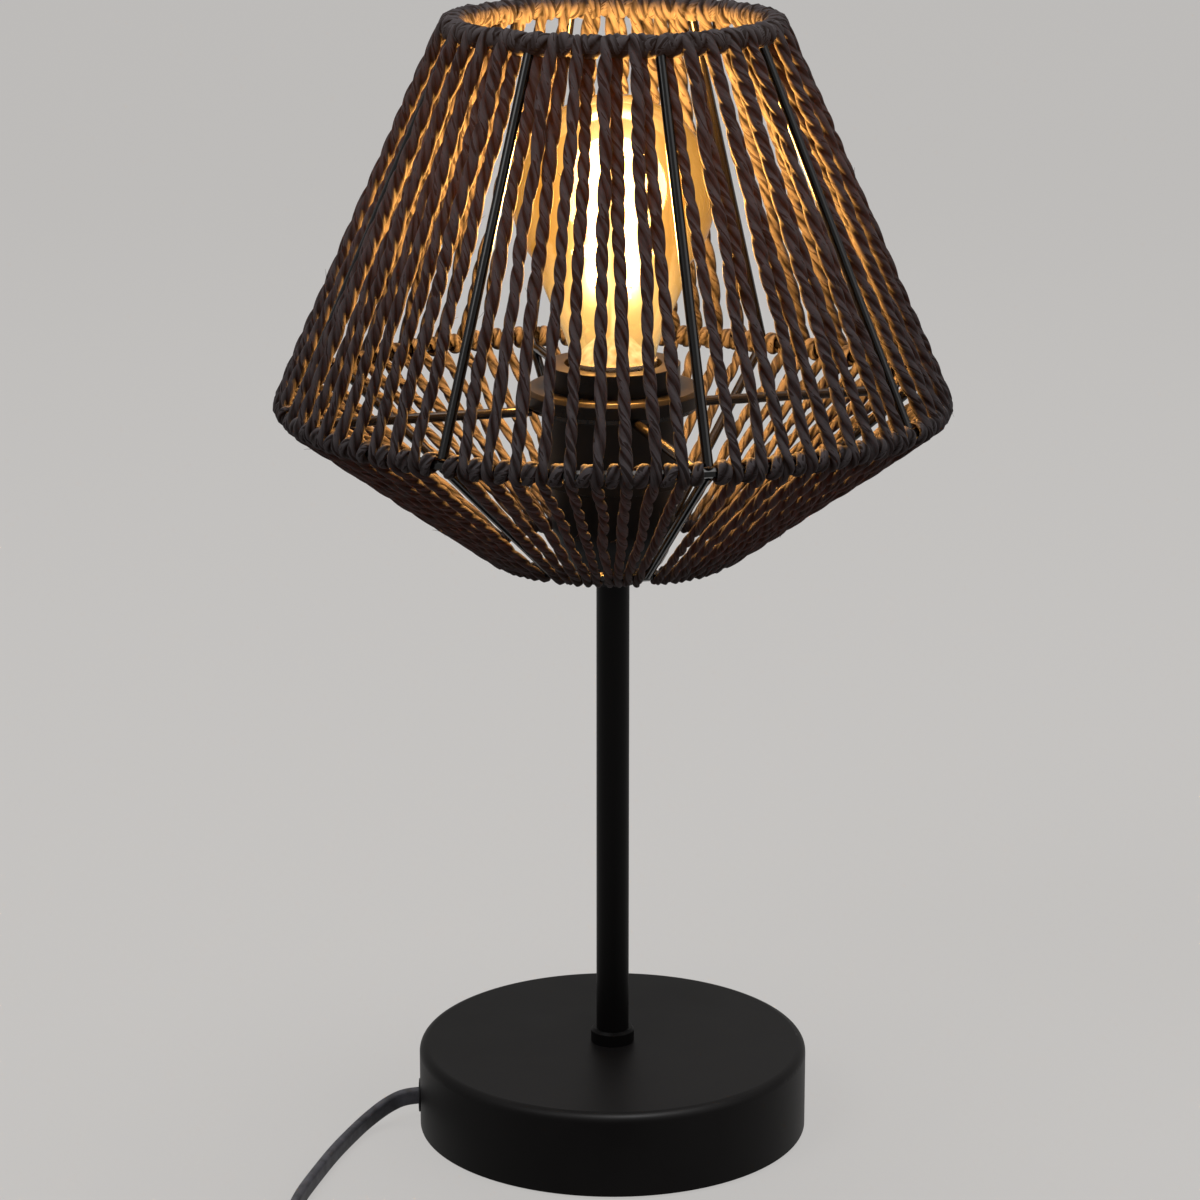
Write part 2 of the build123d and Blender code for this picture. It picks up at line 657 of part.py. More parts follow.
def switch_upper():
    """Upper housing with the rocker's window and the two cheeks that carry its pivot."""
    half = switch_half(SWITCH_H - SWITCH_SPLIT)
    roof = SWITCH_H - SWITCH_SPLIT
    pivot = PIVOT_Z - SWITCH_SPLIT
    swing = hypot(ROCKER_LONG / 2, ROCKER_END_H) * cos(radians(ROCKER_TILT) / 2)
    window = Box(2 * (swing + MOVE_GAP), ROCKER_WIDE + 2 * MOVE_GAP, 4 * roof)
    cheek_y = ROCKER_WIDE / 2 + MOVE_GAP
    cheeks = []
    for side in (-1, 1):
        cheek = Box(2 * CHEEK_R, CHEEK_T, roof - pivot + CHEEK_R, align=BOTTOM_UP)
        cheeks.append(Pos(0, side * (cheek_y + CHEEK_T / 2), pivot - CHEEK_R) * cheek)
    bearing = Pos(0, 0, pivot) * Rot(90, 0, 0) * Cylinder(PIVOT_R + PIVOT_FIT, SWITCH_WIDE - 2 * SWITCH_WALL)
    housing = half - window + cheeks[0] + cheeks[1] - bearing
    return Pos(SWITCH_X, SWITCH_Y, SWITCH_SPLIT) * housing


def switch_rocker():
    """Rocker with its two stub pivots, tipped to the side that it rests on."""
    half = ROCKER_LONG / 2
    side = make_face(Polyline(
        (-half, ROCKER_END_H), (0, ROCKER_DIP_H), (half, ROCKER_END_H), (half, ROCKER_DIP_H / 2),
        (half / 2, -ROCKER_BELOW), (-half / 2, -ROCKER_BELOW), (-half, ROCKER_DIP_H / 2), close=True))
    body = extrude(Plane.XZ * side, ROCKER_WIDE / 2, both=True)
    pivot_long = ROCKER_WIDE + 2 * MOVE_GAP + 2 * CHEEK_T
    body += Rot(90, 0, 0) * Cylinder(PIVOT_R, pivot_long)
    return Pos(SWITCH_X, SWITCH_Y, PIVOT_Z) * Rot(0, -ROCKER_TILT, 0) * body


def switch_contacts():
    block = Box(CONTACT_SIDE, CONTACT_SIDE, SWITCH_SPLIT - SWITCH_WALL, align=BOTTOM_UP)
    return [Pos(SWITCH_X + side * CONTACT_OUT, SWITCH_Y, SWITCH_WALL) * block for side in (-1, 1)]


def build_switch():
    save("switch_lower", switch_lower())
    save("switch_upper", switch_upper())
    save("switch_rocker", switch_rocker())
    save("switch_contacts", switch_contacts())


# Coil, tie and plug

def coil_point(turn):
    """Point of the coil after so many turns: in on the table, up a layer, and out again above."""
    from_middle = turn - COIL_TURNS - 0.25
    radius = COIL_R - TURN_STEP * (COIL_TURNS + 0.25 - abs(from_middle))
    if abs(from_middle) < 0.5:
        radius -= COIL_DIP * TURN_STEP * cos(pi * from_middle) ** 2
    share = min(max(2 * from_middle + 0.5, 0), 1)
    height = COIL_Z + LAYER_STEP * (1 - cos(pi * share)) / 2
    angle = pi / 2 - 2 * pi * turn
    return Vector(COIL_X + radius * cos(angle), COIL_Y + radius * sin(angle), height)


def coil_heading(turn, last):
    """Direction of the flex there; its two ends run along X."""
    if turn in (0, last):
        return Vector(1, 0, 0) if turn == 0 else Vector(-1, 0, 0)
    return (coil_point(turn + TURN_NUDGE) - coil_point(turn - TURN_NUDGE)).normalized()


def two_arcs(start, start_way, end, end_way):
    """Two arcs that leave one point and reach the other in the given directions."""
    chord = end - start
    both = start_way + end_way
    spread = 2 * (1 - start_way.dot(end_way))
    reach = (sqrt(chord.dot(both) ** 2 + spread * chord.dot(chord)) - chord.dot(both)) / spread
    middle = (start + start_way * reach + end - end_way * reach) / 2
    first = TangentArc(start, middle, tangent=start_way)
    return [first, TangentArc(middle, end, tangent=first % 1)]


def coil_path():
    """Centre line of the coil, with a straight bit at each end."""
    quarters = 4 * (2 * COIL_TURNS) + 2
    last = quarters / 4
    turns = [quarter / 4 for quarter in range(quarters + 1)]
    stops = [(coil_point(turn), coil_heading(turn, last)) for turn in turns]
    edges = [Line(stops[0][0] - stops[0][1] * CORD_WIDE, stops[0][0])]
    for (start, start_way), (end, end_way) in zip(stops, stops[1:]):
        edges += two_arcs(start, start_way, end, end_way)
    edges.append(Line(stops[-1][0], stops[-1][0] + stops[-1][1] * CORD_WIDE))
    return Wire([edge for part in edges for edge in part.edges()])


def print_coil_gap(path):
    """Measures how near the coil comes to itself, from points along its centre line."""
    apart = int(pi * COIL_INNER_R / PROBE_STEP)
    count = int(path.length / PROBE_STEP)
    points = [path @ (k / count) for k in range(count + 1)]
    least = min(
        max(abs((a - b).Z) - CORD_WIDE, hypot((a - b).X, (a - b).Y) - CORD_THIN)
        for k, a in enumerate(points) for b in points[k + apart:])
    print("coil least gap to itself", round(least, 2))


def coil_tie():
    """Strap round all the turns, on the left of the coil."""
    inner = COIL_INNER_R + TURN_STEP / 4 - CORD_THIN / 2 - TIE_ROOM
    outer = COIL_R - 3 * TURN_STEP / 4 + CORD_THIN / 2 + TIE_ROOM
    low = COIL_Z - CORD_WIDE / 2 - TIE_UNDER
    high = TAIL_Z + CORD_WIDE / 2 + TIE_UNDER
    middle = Vector(COIL_X - (inner + outer) / 2, COIL_Y, (low + high) / 2)
    hole = Box(outer - inner, 2 * TIE_ALONG, high - low)
    strap = Box(outer - inner + 2 * TIE_T, TIE_ALONG, high - low + 2 * TIE_T)
    return Pos(*middle) * (strap - hole)


def plug_face_x():
    return COIL_X - PLUG_GAP - RELIEF_LONG - PLUG_LONG


def across(x, wide, thick, corner):
    """Rounded section across the plug."""
    place = Plane((x, TAIL_Y, PLUG_Z), x_dir=(0, 1, 0), z_dir=(-1, 0, 0))
    return place * RectangleRounded(wide, thick, corner)


def plug_body():
    back_x = plug_face_x() + PLUG_LONG
    shape = loft([
        across(back_x, PLUG_BACK_WIDE, PLUG_BACK_T, PLUG_CORNER),
        across(plug_face_x(), PLUG_FACE_WIDE, PLUG_FACE_T, PLUG_CORNER)])
    sockets = [Pos(0, side * PIN_PITCH / 2, 0) * pin_blank(PIN_NECK_R, -PIN_SLEEVE, 0) for side in (-1, 1)]
    return shape - sockets[0] - sockets[1]


def plug_relief():
    """Tapered sleeve that eases the flex out of the plug."""
    back_x = plug_face_x() + PLUG_LONG
    tip_t = CORD_WIDE + 2 * RELIEF_END
    tip_wide = CORD_THIN + 2 * RELIEF_END
    shape = loft([
        across(back_x + RELIEF_LONG, tip_wide, tip_t, RELIEF_END),
        across(back_x, RELIEF_WIDE, RELIEF_T, RELIEF_END)])
    return shape - Pos(back_x, TAIL_Y, PLUG_Z) * Box(4 * RELIEF_LONG, CORD_THIN, CORD_WIDE)


def pin_blank(radius, start, end):
    """Cylinder on the plug's middle line, from start to end in front of its face."""
    place = Plane((plug_face_x() - start, TAIL_Y, PLUG_Z), z_dir=(-1, 0, 0))
    return place * Cylinder(radius, end - start, align=BOTTOM_UP)


def plug_pin():
    tip = PIN_SLEEVE + PIN_BARE
    bare = pin_blank(PIN_R, PIN_SLEEVE, tip)
    bare = chamfer(bare.edges().sort_by(Axis.X)[0], PIN_R / 3)
    return bare + pin_blank(PIN_NECK_R - TOUCH, -PIN_SLEEVE + TOUCH, PIN_SLEEVE)


def build_cord():
    save("cord_lead", laid_flex("cord_lead", LEAD_ROUTE))
    save("cord_link", laid_flex("cord_link", LINK_ROUTE))
    save("cord_tail", laid_flex("cord_tail", TAIL_ROUTE))
    path = coil_path()
    save("cord_coil", swept_flex("cord_coil", path, above(path)))
    print_coil_gap(path)
    save("coil_tie", coil_tie())
    save("plug_body", plug_body())
    save("plug_relief", plug_relief())
    sides = [Pos(0, side * PIN_PITCH / 2, 0) for side in (-1, 1)]
    save("plug_pins", [side * plug_pin() for side in sides])
    sleeve = pin_blank(PIN_R - TOUCH, 0, PIN_SLEEVE) - pin_blank(PIN_NECK_R, 0, PIN_SLEEVE)
    save("pin_sleeves", [side * sleeve for side in sides])


if __name__ == "__main__":
    os.makedirs("parts", exist_ok=True)
    build_base()
    build_holder()
    build_shade()
    build_bulb()
    build_switch()
    build_cord()
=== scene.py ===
"""Looks of a bedside lamp: paper cord strung on a wire frame round a lit filament bulb."""

import logging
import math
import random
from dataclasses import dataclass, replace
from enum import Enum
from typing import Iterable, Sequence

import bpy
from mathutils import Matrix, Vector


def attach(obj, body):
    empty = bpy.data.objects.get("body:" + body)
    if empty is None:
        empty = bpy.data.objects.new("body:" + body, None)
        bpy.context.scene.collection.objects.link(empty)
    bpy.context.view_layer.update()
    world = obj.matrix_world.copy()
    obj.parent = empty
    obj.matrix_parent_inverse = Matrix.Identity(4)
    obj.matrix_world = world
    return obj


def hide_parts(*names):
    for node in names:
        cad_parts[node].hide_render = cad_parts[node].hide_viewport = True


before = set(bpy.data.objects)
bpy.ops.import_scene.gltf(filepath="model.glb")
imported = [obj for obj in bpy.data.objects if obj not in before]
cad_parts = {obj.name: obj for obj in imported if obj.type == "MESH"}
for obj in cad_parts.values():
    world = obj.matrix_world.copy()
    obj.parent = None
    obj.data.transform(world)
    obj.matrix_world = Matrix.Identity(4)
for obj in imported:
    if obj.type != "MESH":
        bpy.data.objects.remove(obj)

log = logging.getLogger("lamp")
MM = 0.001
TURN = 2 * math.pi
UP = Vector((0, 0, 1))
Colour = tuple[float, float, float, float]
Pair = tuple[float, float]
Point = tuple[float, float, float]
Section = list[Point]
Socket = bpy.types.NodeSocket


class Body(str, Enum):
    """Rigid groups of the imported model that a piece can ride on."""

    LAMP = "lamp"
    BULB = "bulb"


class Quarter(str, Enum):
    """Quarters of the shade, in the order in which its strands are strung."""

    RIGHT = "right"
    BACK = "back"
    LEFT = "left"
    FRONT = "front"


def linear(code: str) -> Colour:
    """Turns a screen colour into the scene's linear colour.

    Args:
        code: Six hexadecimal digits after a hash.

    Returns:
        Linear red, green and blue, and full opacity.
    """
    parts = [int(code[k:k + 2], 16) / 255 for k in (1, 3, 5)]
    red, green, blue = (p / 12.92 if p <= 0.04045 else ((p + 0.055) / 1.055) ** 2.4 for p in parts)
    return red, green, blue, 1.0


class Nodes:
    """Node tree of a material or of the world, built node by node."""

    def __init__(self, owner: bpy.types.Material | bpy.types.World) -> None:
        """Starts with an empty tree.

        Args:
            owner: Whose tree it is.
        """
        owner.use_nodes = True
        self.tree = owner.node_tree
        self.tree.nodes.clear()

    def add(
        self, kind: str, inputs: dict[str | int, object] | None = None,
        stops: Sequence[tuple[float, str]] = (), **settings: object) -> bpy.types.bpy_prop_collection:
        """Adds one node with its settings and links.

        Args:
            kind: Node type without its common prefix.
            inputs: Socket name or number to a value, or to another node's socket.
            stops: Places and colours of the node's ramp, where it has one.
            settings: Properties of the node itself.

        Returns:
            The node's outputs.
        """
        node = self.tree.nodes.new(f"ShaderNode{kind}")
        for key, value in settings.items():
            setattr(node, key, value)
        for key, value in (inputs or {}).items():
            if isinstance(value, Socket):
                self.tree.links.new(value, node.inputs[key])
            else:
                node.inputs[key].default_value = value
        for place, _ in stops[1:-1]:
            node.color_ramp.elements.new(place)
        for k, (place, code) in enumerate(stops):
            node.color_ramp.elements[k].position = place
            node.color_ramp.elements[k].color = linear(code)
        return node.outputs


def per_metre(size_mm: float) -> float:
    """Scale of a pattern whose spots have a size in millimetres."""
    return 1 / (size_mm * MM)


def add_object(name: str, data: bpy.types.ID) -> bpy.types.Object:
    """Puts a mesh, a light or a camera into the scene.

    Args:
        name: Name of the object.
        data: What it shows.

    Returns:
        The new object.
    """
    new = bpy.data.objects.new(name, data)
    bpy.context.scene.collection.objects.link(new)
    return new


MADE: dict[str, bpy.types.Material] = {}


class Finish:
    """A real finish that can be put on pieces."""

    name: str = "finish"
    step_rate: float = 1.0

    def surface(self, nodes: Nodes) -> Socket:
        """Adds the finish's nodes and returns its surface; each finish has its own."""
        raise NotImplementedError

    def filling(self, nodes: Nodes) -> Socket | None:
        """Adds the nodes of what fills the piece and returns the volume, where there is one."""
        return None

    def material(self) -> bpy.types.Material:
        """Makes the material once.

        Returns:
            The same material each time.
        """
        if self.name not in MADE:
            material = MADE[self.name] = bpy.data.materials.new(self.name)
            nodes = Nodes(material)
            ends = {"Surface": self.surface(nodes), "Volume": self.filling(nodes)}
            nodes.add("OutputMaterial", {name: end for name, end in ends.items() if end is not None})
            material.cycles.volume_step_rate = self.step_rate
        return MADE[self.name]


@dataclass(frozen=True)
class PaperCord(Finish):
    """Kraft paper, dyed charcoal and twisted in two plies.

    To the eye it is a dull, dark string with creases along each ply and black grooves between them; the black
    in the grooves and the dark crease lines are painted shade. Close to the bulb it has a painted warm glow,
    besides the little light that thin paper lets through.
    """

    name: str = "paper_cord"
    # Painted shade: near black in the grooves between the plies, and dark lines on the ply tops at the creases.
    groove_shade: str = "#050404"
    crest: str = "#4f4b4d"
    crease_shade: str = "#1c1a1b"
    groove_shade_to: float = 0.48
    crest_at: float = 0.985
    crest_weight: float = 0.5
    # Real creases are about 0.25 mm apart, and are drawn coarser so that they show.
    streak_mm: float = 0.7
    streak_long_mm: float = 7.0
    streak_depth_mm: float = 0.14
    patch_mm: float = 9.0
    roughness: float = 0.74
    spread: float = 0.16
    glow: str = "#e8a868"
    let_through: float = 0.045
    # Painted glow: warm emission on the paper near the bulb, standing in for the bulb's light on it.
    painted_glow: str = "#ff9a4c"
    painted_glow_at: float = 0.285
    painted_glow_reach: float = 0.0225
    painted_glow_power: float = 4.0

    def painted_glow_strength(self, nodes: Nodes, place: Socket) -> Socket:
        """Painted glow for bulb light soaking into the paper, falling fast with the distance from the bulb.

        Args:
            nodes: The material's tree.
            place: Position on the lamp.

        Returns:
            Strength of the painted glow.
        """
        far = nodes.add("VectorMath", {0: place, 1: (0, 0, self.painted_glow_at)}, operation="DISTANCE")["Value"]
        share = nodes.add("Math", {0: self.painted_glow_reach, 1: far}, operation="DIVIDE")[0]
        return nodes.add("Math", {0: share, 1: self.painted_glow_power}, operation="POWER")[0]

    def surface(self, nodes: Nodes) -> Socket:
        """Charcoal, creased along each ply, with painted groove shade and glow, letting a little light through.

        Args:
            nodes: The material's tree.

        Returns:
            The surface.
        """
        place = nodes.add("TexCoord")["Object"]
        grain = nodes.add("Attribute", attribute_name="grain")["Vector"]
        stretch = (1 / self.streak_mm, 1 / self.streak_long_mm, 1.0)
        drawn = nodes.add("Mapping", {"Vector": grain, "Scale": stretch})[0]
        streak = nodes.add("TexNoise", {"Vector": drawn, "Scale": 1.0, "Detail": 4.0})[0]
        patch = nodes.add("TexNoise", {"Vector": place, "Scale": per_metre(self.patch_mm), "Detail": 2.0})[0]
        # Painted shade: the colour darkens from the ply tops to near black in the grooves, mixed with the
        # streaks' random tone.
        crest = nodes.add("Attribute", attribute_name="crest")["Fac"]
        shade_and_streak = nodes.add("Math", {0: crest, 1: self.crest_weight, 2: streak}, operation="MULTIPLY_ADD")[0]
        colour = nodes.add("ValToRGB", {"Fac": shade_and_streak}, stops=(
            (self.groove_shade_to, self.groove_shade), (self.crest_at, self.crest), (1.0, self.crease_shade)))[0]
        dull = nodes.add("Math", {
            0: patch, 1: self.spread, 2: self.roughness - self.spread / 2}, operation="MULTIPLY_ADD")[0]
        relief = nodes.add("Bump", {
            "Height": streak, "Distance": self.streak_depth_mm * MM, "Strength": 0.8})[0]
        # The emission is painted glow from the bulb, not light that the paper gives.
        skin = nodes.add("BsdfPrincipled", {
            "Base Color": colour, "Roughness": dull, "Normal": relief, "Specular IOR Level": 0.08,
            "Sheen Weight": 0.02, "Sheen Roughness": 0.5,
            "Emission Color": linear(self.painted_glow), "Emission Strength": self.painted_glow_strength(nodes, place)})[0]
        through = nodes.add("BsdfTranslucent", {"Color": linear(self.glow), "Normal": relief})[0]
        return nodes.add("MixShader", {0: self.let_through, 1: skin, 2: through})[0]


@dataclass(frozen=True)
class Grained(Finish):
    """Paint, plastic, rubber, glaze or metal: a fine relief all over and slight patches of colour and shine.

    The values are those of moulded plastic, which to the eye is even in colour, with the mould's grain and with
    slightly rounded edges that catch a thin line of light.
    """

    name: str = "moulded"
    colour: str = "#131212"
    pale: str = "#1d1c1c"
    # A mould's grain, a coat's peel and a drawn skin's marks are 0.1 to 0.3 mm, and are drawn coarser to show.
    grain_mm: float = 0.35
    depth_mm: float = 0.02
    roughness: float = 0.38
    shine: float = 0.5
    spread: float = 0.14
    relief: float = 0.6
    patch_mm: float = 14.0
    patch_detail: float = 2.0
    pale_from: float = 0.35
    pale_to: float = 0.8
    edge_mm: float = 0.5
    metallic: float = 0.0
    grain_detail: float = 2.0
    flat: float = 1.0

    def surface(self, nodes: Nodes) -> Socket:
        """Even colour with slight patches and a fine relief.

        Args:
            nodes: The material's tree.

        Returns:
            The surface.
        """
        place = nodes.add("TexCoord")["Object"]
        drawn = nodes.add("Mapping", {"Vector": place, "Scale": (1.0, 1.0, self.flat)})[0]
        patch = grain = nodes.add("TexNoise", {
            "Vector": drawn, "Scale": per_metre(self.grain_mm), "Detail": self.grain_detail})[0]
        if self.patch_mm:
            patch = nodes.add("TexNoise", {
                "Vector": place, "Scale": per_metre(self.patch_mm), "Detail": self.patch_detail})[0]
        colour = nodes.add("ValToRGB", {"Fac": patch}, stops=(
            (self.pale_from, self.colour), (self.pale_to, self.pale)))[0]
        rough: float | Socket = self.roughness
        if self.spread:
            rough = nodes.add("Math", {
                0: patch, 1: self.spread, 2: self.roughness - self.spread / 2}, operation="MULTIPLY_ADD")[0]
        bumps = {"Height": grain, "Distance": self.depth_mm * MM, "Strength": self.relief}
        if self.edge_mm:
            bumps["Normal"] = nodes.add("Bevel", {"Radius": self.edge_mm * MM}, samples=6)[0]
        return nodes.add("BsdfPrincipled", {
            "Base Color": colour, "Metallic": self.metallic, "Roughness": rough,
            "Specular IOR Level": self.shine, "Normal": nodes.add("Bump", bumps)[0]})[0]


@dataclass(frozen=True)
class BareMetal(Grained):
    """Bare or plated metal, pressed, drawn or cast.

    To the eye it is bright and takes its surroundings' colours, broken by rubbing marks and duller patches.
    """

    name: str = "metal"
    # Rubbing marks are about 0.05 mm wide, and are drawn coarser so that they show.
    grain_mm: float = 0.8
    depth_mm: float = 0.01
    roughness: float = 0.3
    spread: float = 0.2
    relief: float = 0.4
    patch_mm: float = 0.0
    pale_from: float = 0.3
    pale_to: float = 0.7
    edge_mm: float = 0.0
    metallic: float = 1.0
    grain_detail: float = 4.0
    flat: float = 6.0


@dataclass(frozen=True)
class LitGlass(Finish):
    """Blown soda-lime glass, full of its own light.

    To the eye it is a golden skin with sharp reflections at its rim, round a glow that whitens towards the
    rods. Heights are in metres.
    """

    name: str = "blown_glass"
    gold: str = "#f2a531"
    pale: str = "#ffe39a"
    clear: str = "#ffdf9e"
    glow: str = "#ffc680"
    white: str = "#fff1dc"
    low_z: float = 0.240
    high_z: float = 0.275
    rods_z: float = 0.2847
    rods_half: float = 0.0185
    rods_out: float = 0.0044
    glow_half: float = 0.031
    near_mm: float = 4.0
    near_strength: float = 1300.0
    wide_mm: float = 15.0
    wide_strength: float = 46.0
    skin_strength: float = 0.8
    skin_share: float = 0.5
    wave_mm: float = 11.0
    wave_depth_mm: float = 0.05
    # Glass has 1.5; thin glass over bright light shows less of a rim.
    rim_ior: float = 1.3
    # Short steps keep the glow smooth.
    step_rate: float = 0.2

    def nearness(
        self, nodes: Nodes, place: Socket, core: Sequence[float], reach_mm: float, strength: float) -> Socket:
        """Value that falls with the distance from an upright core, the same on all four sides.

        Args:
            nodes: The material's tree.
            place: Position, with the rods' middle at height nought.
            core: Place of the core aside, and half of its height.
            reach_mm: Distance at which a quarter is left.
            strength: Value in the core.

        Returns:
            The value socket.
        """
        folded = nodes.add("VectorMath", {0: place}, operation="ABSOLUTE")["Vector"]
        past = nodes.add("VectorMath", {0: folded, 1: core}, operation="SUBTRACT")["Vector"]
        # Beside the core, height counts for nothing; aside, minus one metre cuts nothing off.
        kept = nodes.add("VectorMath", {0: past, 1: (-1, -1, 0)}, operation="MAXIMUM")["Vector"]
        far = nodes.add("VectorMath", {0: kept}, operation="LENGTH")["Value"]
        share = nodes.add("Math", {0: far, 1: per_metre(reach_mm)}, operation="MULTIPLY")[0]
        square = nodes.add("Math", {0: share, 1: share, 2: 1.0}, operation="MULTIPLY_ADD")[0]
        power = nodes.add("Math", {0: square, 1: square}, operation="MULTIPLY")[0]
        return nodes.add("Math", {0: strength, 1: power}, operation="DIVIDE")[0]

    def filling(self, nodes: Nodes) -> Socket:
        """White light close to the rods, in a wide golden one round the axis.

        Args:
            nodes: The material's tree.

        Returns:
            The volume.
        """
        place = nodes.add("TexCoord")["Object"]
        middle = nodes.add("VectorMath", {0: place, 1: (0, 0, self.rods_z)}, operation="SUBTRACT")["Vector"]
        rods = (self.rods_out, self.rods_out, self.rods_half)
        near = self.nearness(nodes, middle, rods, self.near_mm, self.near_strength)
        wide = self.nearness(nodes, middle, (0, 0, self.glow_half), self.wide_mm, self.wide_strength)
        white = nodes.add("Emission", {"Color": linear(self.white), "Strength": near})[0]
        gold = nodes.add("Emission", {"Color": linear(self.glow), "Strength": wide})[0]
        return nodes.add("AddShader", {0: white, 1: gold})[0]

    def surface(self, nodes: Nodes) -> Socket:
        """Thin clear skin that carries the gold.

        Args:
            nodes: The material's tree.

        Returns:
            The surface.
        """
        place = nodes.add("TexCoord")["Object"]
        height = nodes.add("SeparateXYZ", {0: place})["Z"]
        share = nodes.add("MapRange", {"Value": height, "From Min": self.low_z, "From Max": self.high_z})[0]
        tint = nodes.add("ValToRGB", {"Fac": share}, stops=((0.0, self.pale), (1.0, self.gold)))[0]
        gold = nodes.add("Emission", {"Color": tint, "Strength": self.skin_strength})[0]
        clear = nodes.add("BsdfTransparent", {"Color": linear(self.clear)})[0]
        lit = nodes.add("MixShader", {0: self.skin_share, 1: clear, 2: gold})[0]
        wave = nodes.add("TexNoise", {"Vector": place, "Scale": per_metre(self.wave_mm), "Detail": 1.0})[0]
        relief = nodes.add("Bump", {
            "Height": wave, "Distance": self.wave_depth_mm * MM, "Strength": 0.3})[0]
        gloss = nodes.add("BsdfGlossy", {"Roughness": 0.04, "Normal": relief})[0]
        rim = nodes.add("Fresnel", {"IOR": self.rim_ior})[0]
        return nodes.add("MixShader", {0: rim, 1: lit, 2: gloss})[0]


@dataclass(frozen=True)
class Glowing(Finish):
    """Something inside the bulb that gives light of its own, or has a painted glow for its neighbours' light.

    To the eye it is brighter than anything round it, with streaks or grains from paler to warmer.
    """

    name: str = "glowing"
    warm: str = "#ffc46a"
    pale: str = "#fff3d6"
    strength: float = 45.0
    grain_mm: float = 1.2
    grain_detail: float = 1.0
    upright: float = 1.0

    def surface(self, nodes: Nodes) -> Socket:
        """Light with grains or streaks of two tints.

        Args:
            nodes: The material's tree.

        Returns:
            The surface.
        """
        place = nodes.add("TexCoord")["Object"]
        drawn = nodes.add("Mapping", {"Vector": place, "Scale": (1.0, 1.0, self.upright)})[0]
        grain = nodes.add("TexNoise", {
            "Vector": drawn, "Scale": per_metre(self.grain_mm), "Detail": self.grain_detail})[0]
        tint = nodes.add("ValToRGB", {"Fac": grain}, stops=((0.3, self.warm), (0.7, self.pale)))[0]
        return nodes.add("Emission", {"Color": tint, "Strength": self.strength})[0]


@dataclass(frozen=True)
class Backdrop(Finish):
    """Pale grey studio paper, cut out to an even tone as in a catalogue.

    To the eye it is plain and dull, with only faint shadows on it.
    """

    name: str = "studio_paper"
    colour: str = "#5a5958"
    glow: str = "#b6b4b2"

    def surface(self, nodes: Nodes) -> Socket:
        """Plain pale sheet; its even tone is only for the eye and for reflections, and lights nothing.

        Args:
            nodes: The material's tree.

        Returns:
            The surface.
        """
        rays = nodes.add("LightPath")
        glanced = nodes.add("Math", {
            0: rays["Is Glossy Ray"], 1: rays["Is Transmission Ray"]}, operation="MAXIMUM")[0]
        seen = nodes.add("Math", {0: rays["Is Camera Ray"], 1: glanced}, operation="MAXIMUM")[0]
        return nodes.add("BsdfPrincipled", {
            "Base Color": linear(self.colour), "Roughness": 0.9, "Specular IOR Level": 0.1,
            "Emission Color": linear(self.glow), "Emission Strength": seen})[0]


# Powder paint, baked on the pressed base and the stem: deep black, with a fine peel and a wide, faint shine.
COAT = Grained(
    "powder_coat", "#060505", "#0a0909", 0.5, 0.03, roughness=0.46, shine=0.08, spread=0.12, relief=0.5,
    patch_mm=28.0, patch_detail=3.0, pale_from=0.3, pale_to=0.75, edge_mm=0.0)
# Glossier paint, dipped on drawn wire: thin bright lines along the wires.
WIRE = replace(
    COAT, name="dipped_enamel", colour="#080707", pale="#100e0d", grain_mm=0.9, roughness=0.15, shine=0.32)
# Soft PVC, drawn over the flex's conductors: satin and a little dusty, so paler than the lamp's paint.
SHEATH = Grained(
    "drawn_pvc", "#302f34", "#55545b", 0.5, 0.03, roughness=0.6, spread=0.0, relief=0.5, patch_mm=3.5,
    patch_detail=4.0, pale_to=0.72, edge_mm=0.0)
# Phenolic plastic from a polished mould: black with small, soft highlights.
HOLDER = Grained("moulded_phenolic", "#070606", "#0c0b0b", 0.6, roughness=0.3, shine=0.16)
# ABS from a sparked mould: charcoal, with edges that show.
SWITCH = Grained("moulded_abs", "#141315", "#1e1d1f", 0.5, 0.03, roughness=0.36)
# Soft moulded PVC: dull charcoal with broad, faint highlights.
SOFT = Grained("moulded_pvc", "#161517", "#242326", 0.5, 0.05, roughness=0.55)
# Closed-cell foam rubber, cut from a sheet: black, dull and pitted.
FOAM = Grained("foam_rubber", "#161616", "#232323", 0.8, 0.15, roughness=0.85)
# Steatite with a fired glaze: cream and glossy, with slow waves.
GLAZE = Grained("glazed_steatite", "#e4dfd4", "#efece4", 3.0, roughness=0.2)
# Bare stamped brass: warm yellow, rubbed dull in places.
BRASS = BareMetal("stamped_brass", "#8e6a2c", "#c79a4b")
# Nickel plate on turned pins: pale and bright.
NICKEL = BareMetal("nickel_plate", "#a09b90", "#c9c5bb", roughness=0.22)
# Zinc plate on rolled steel: cool grey and half dull.
STEEL = BareMetal("zinc_plated_steel", "#8a8c8f", "#b4b6b8", roughness=0.36)
# Pressed aluminium sheet: pale, with a soft shine.
ALUMINIUM = BareMetal("pressed_aluminium", "#97958f", "#c2c1bd", roughness=0.28)
# Sand-cast iron: dark and rough, with coarse grains.
IRON = BareMetal("cast_iron", "#2e2c2b", "#4a4846", 2.2, roughness=0.62)
# Phosphor-coated rods at full light: white, with the chips as amber grains.
FILAMENT = Glowing("phosphor_coat")
# Drawn glass stem with a painted glow for the rods' light: pale, with warm streaks up the glass.
GLASS_STEM = Glowing("drawn_glass", "#c98a3c", "#fff3dc", 2.0, 2.0, 2.0, upright=0.1)


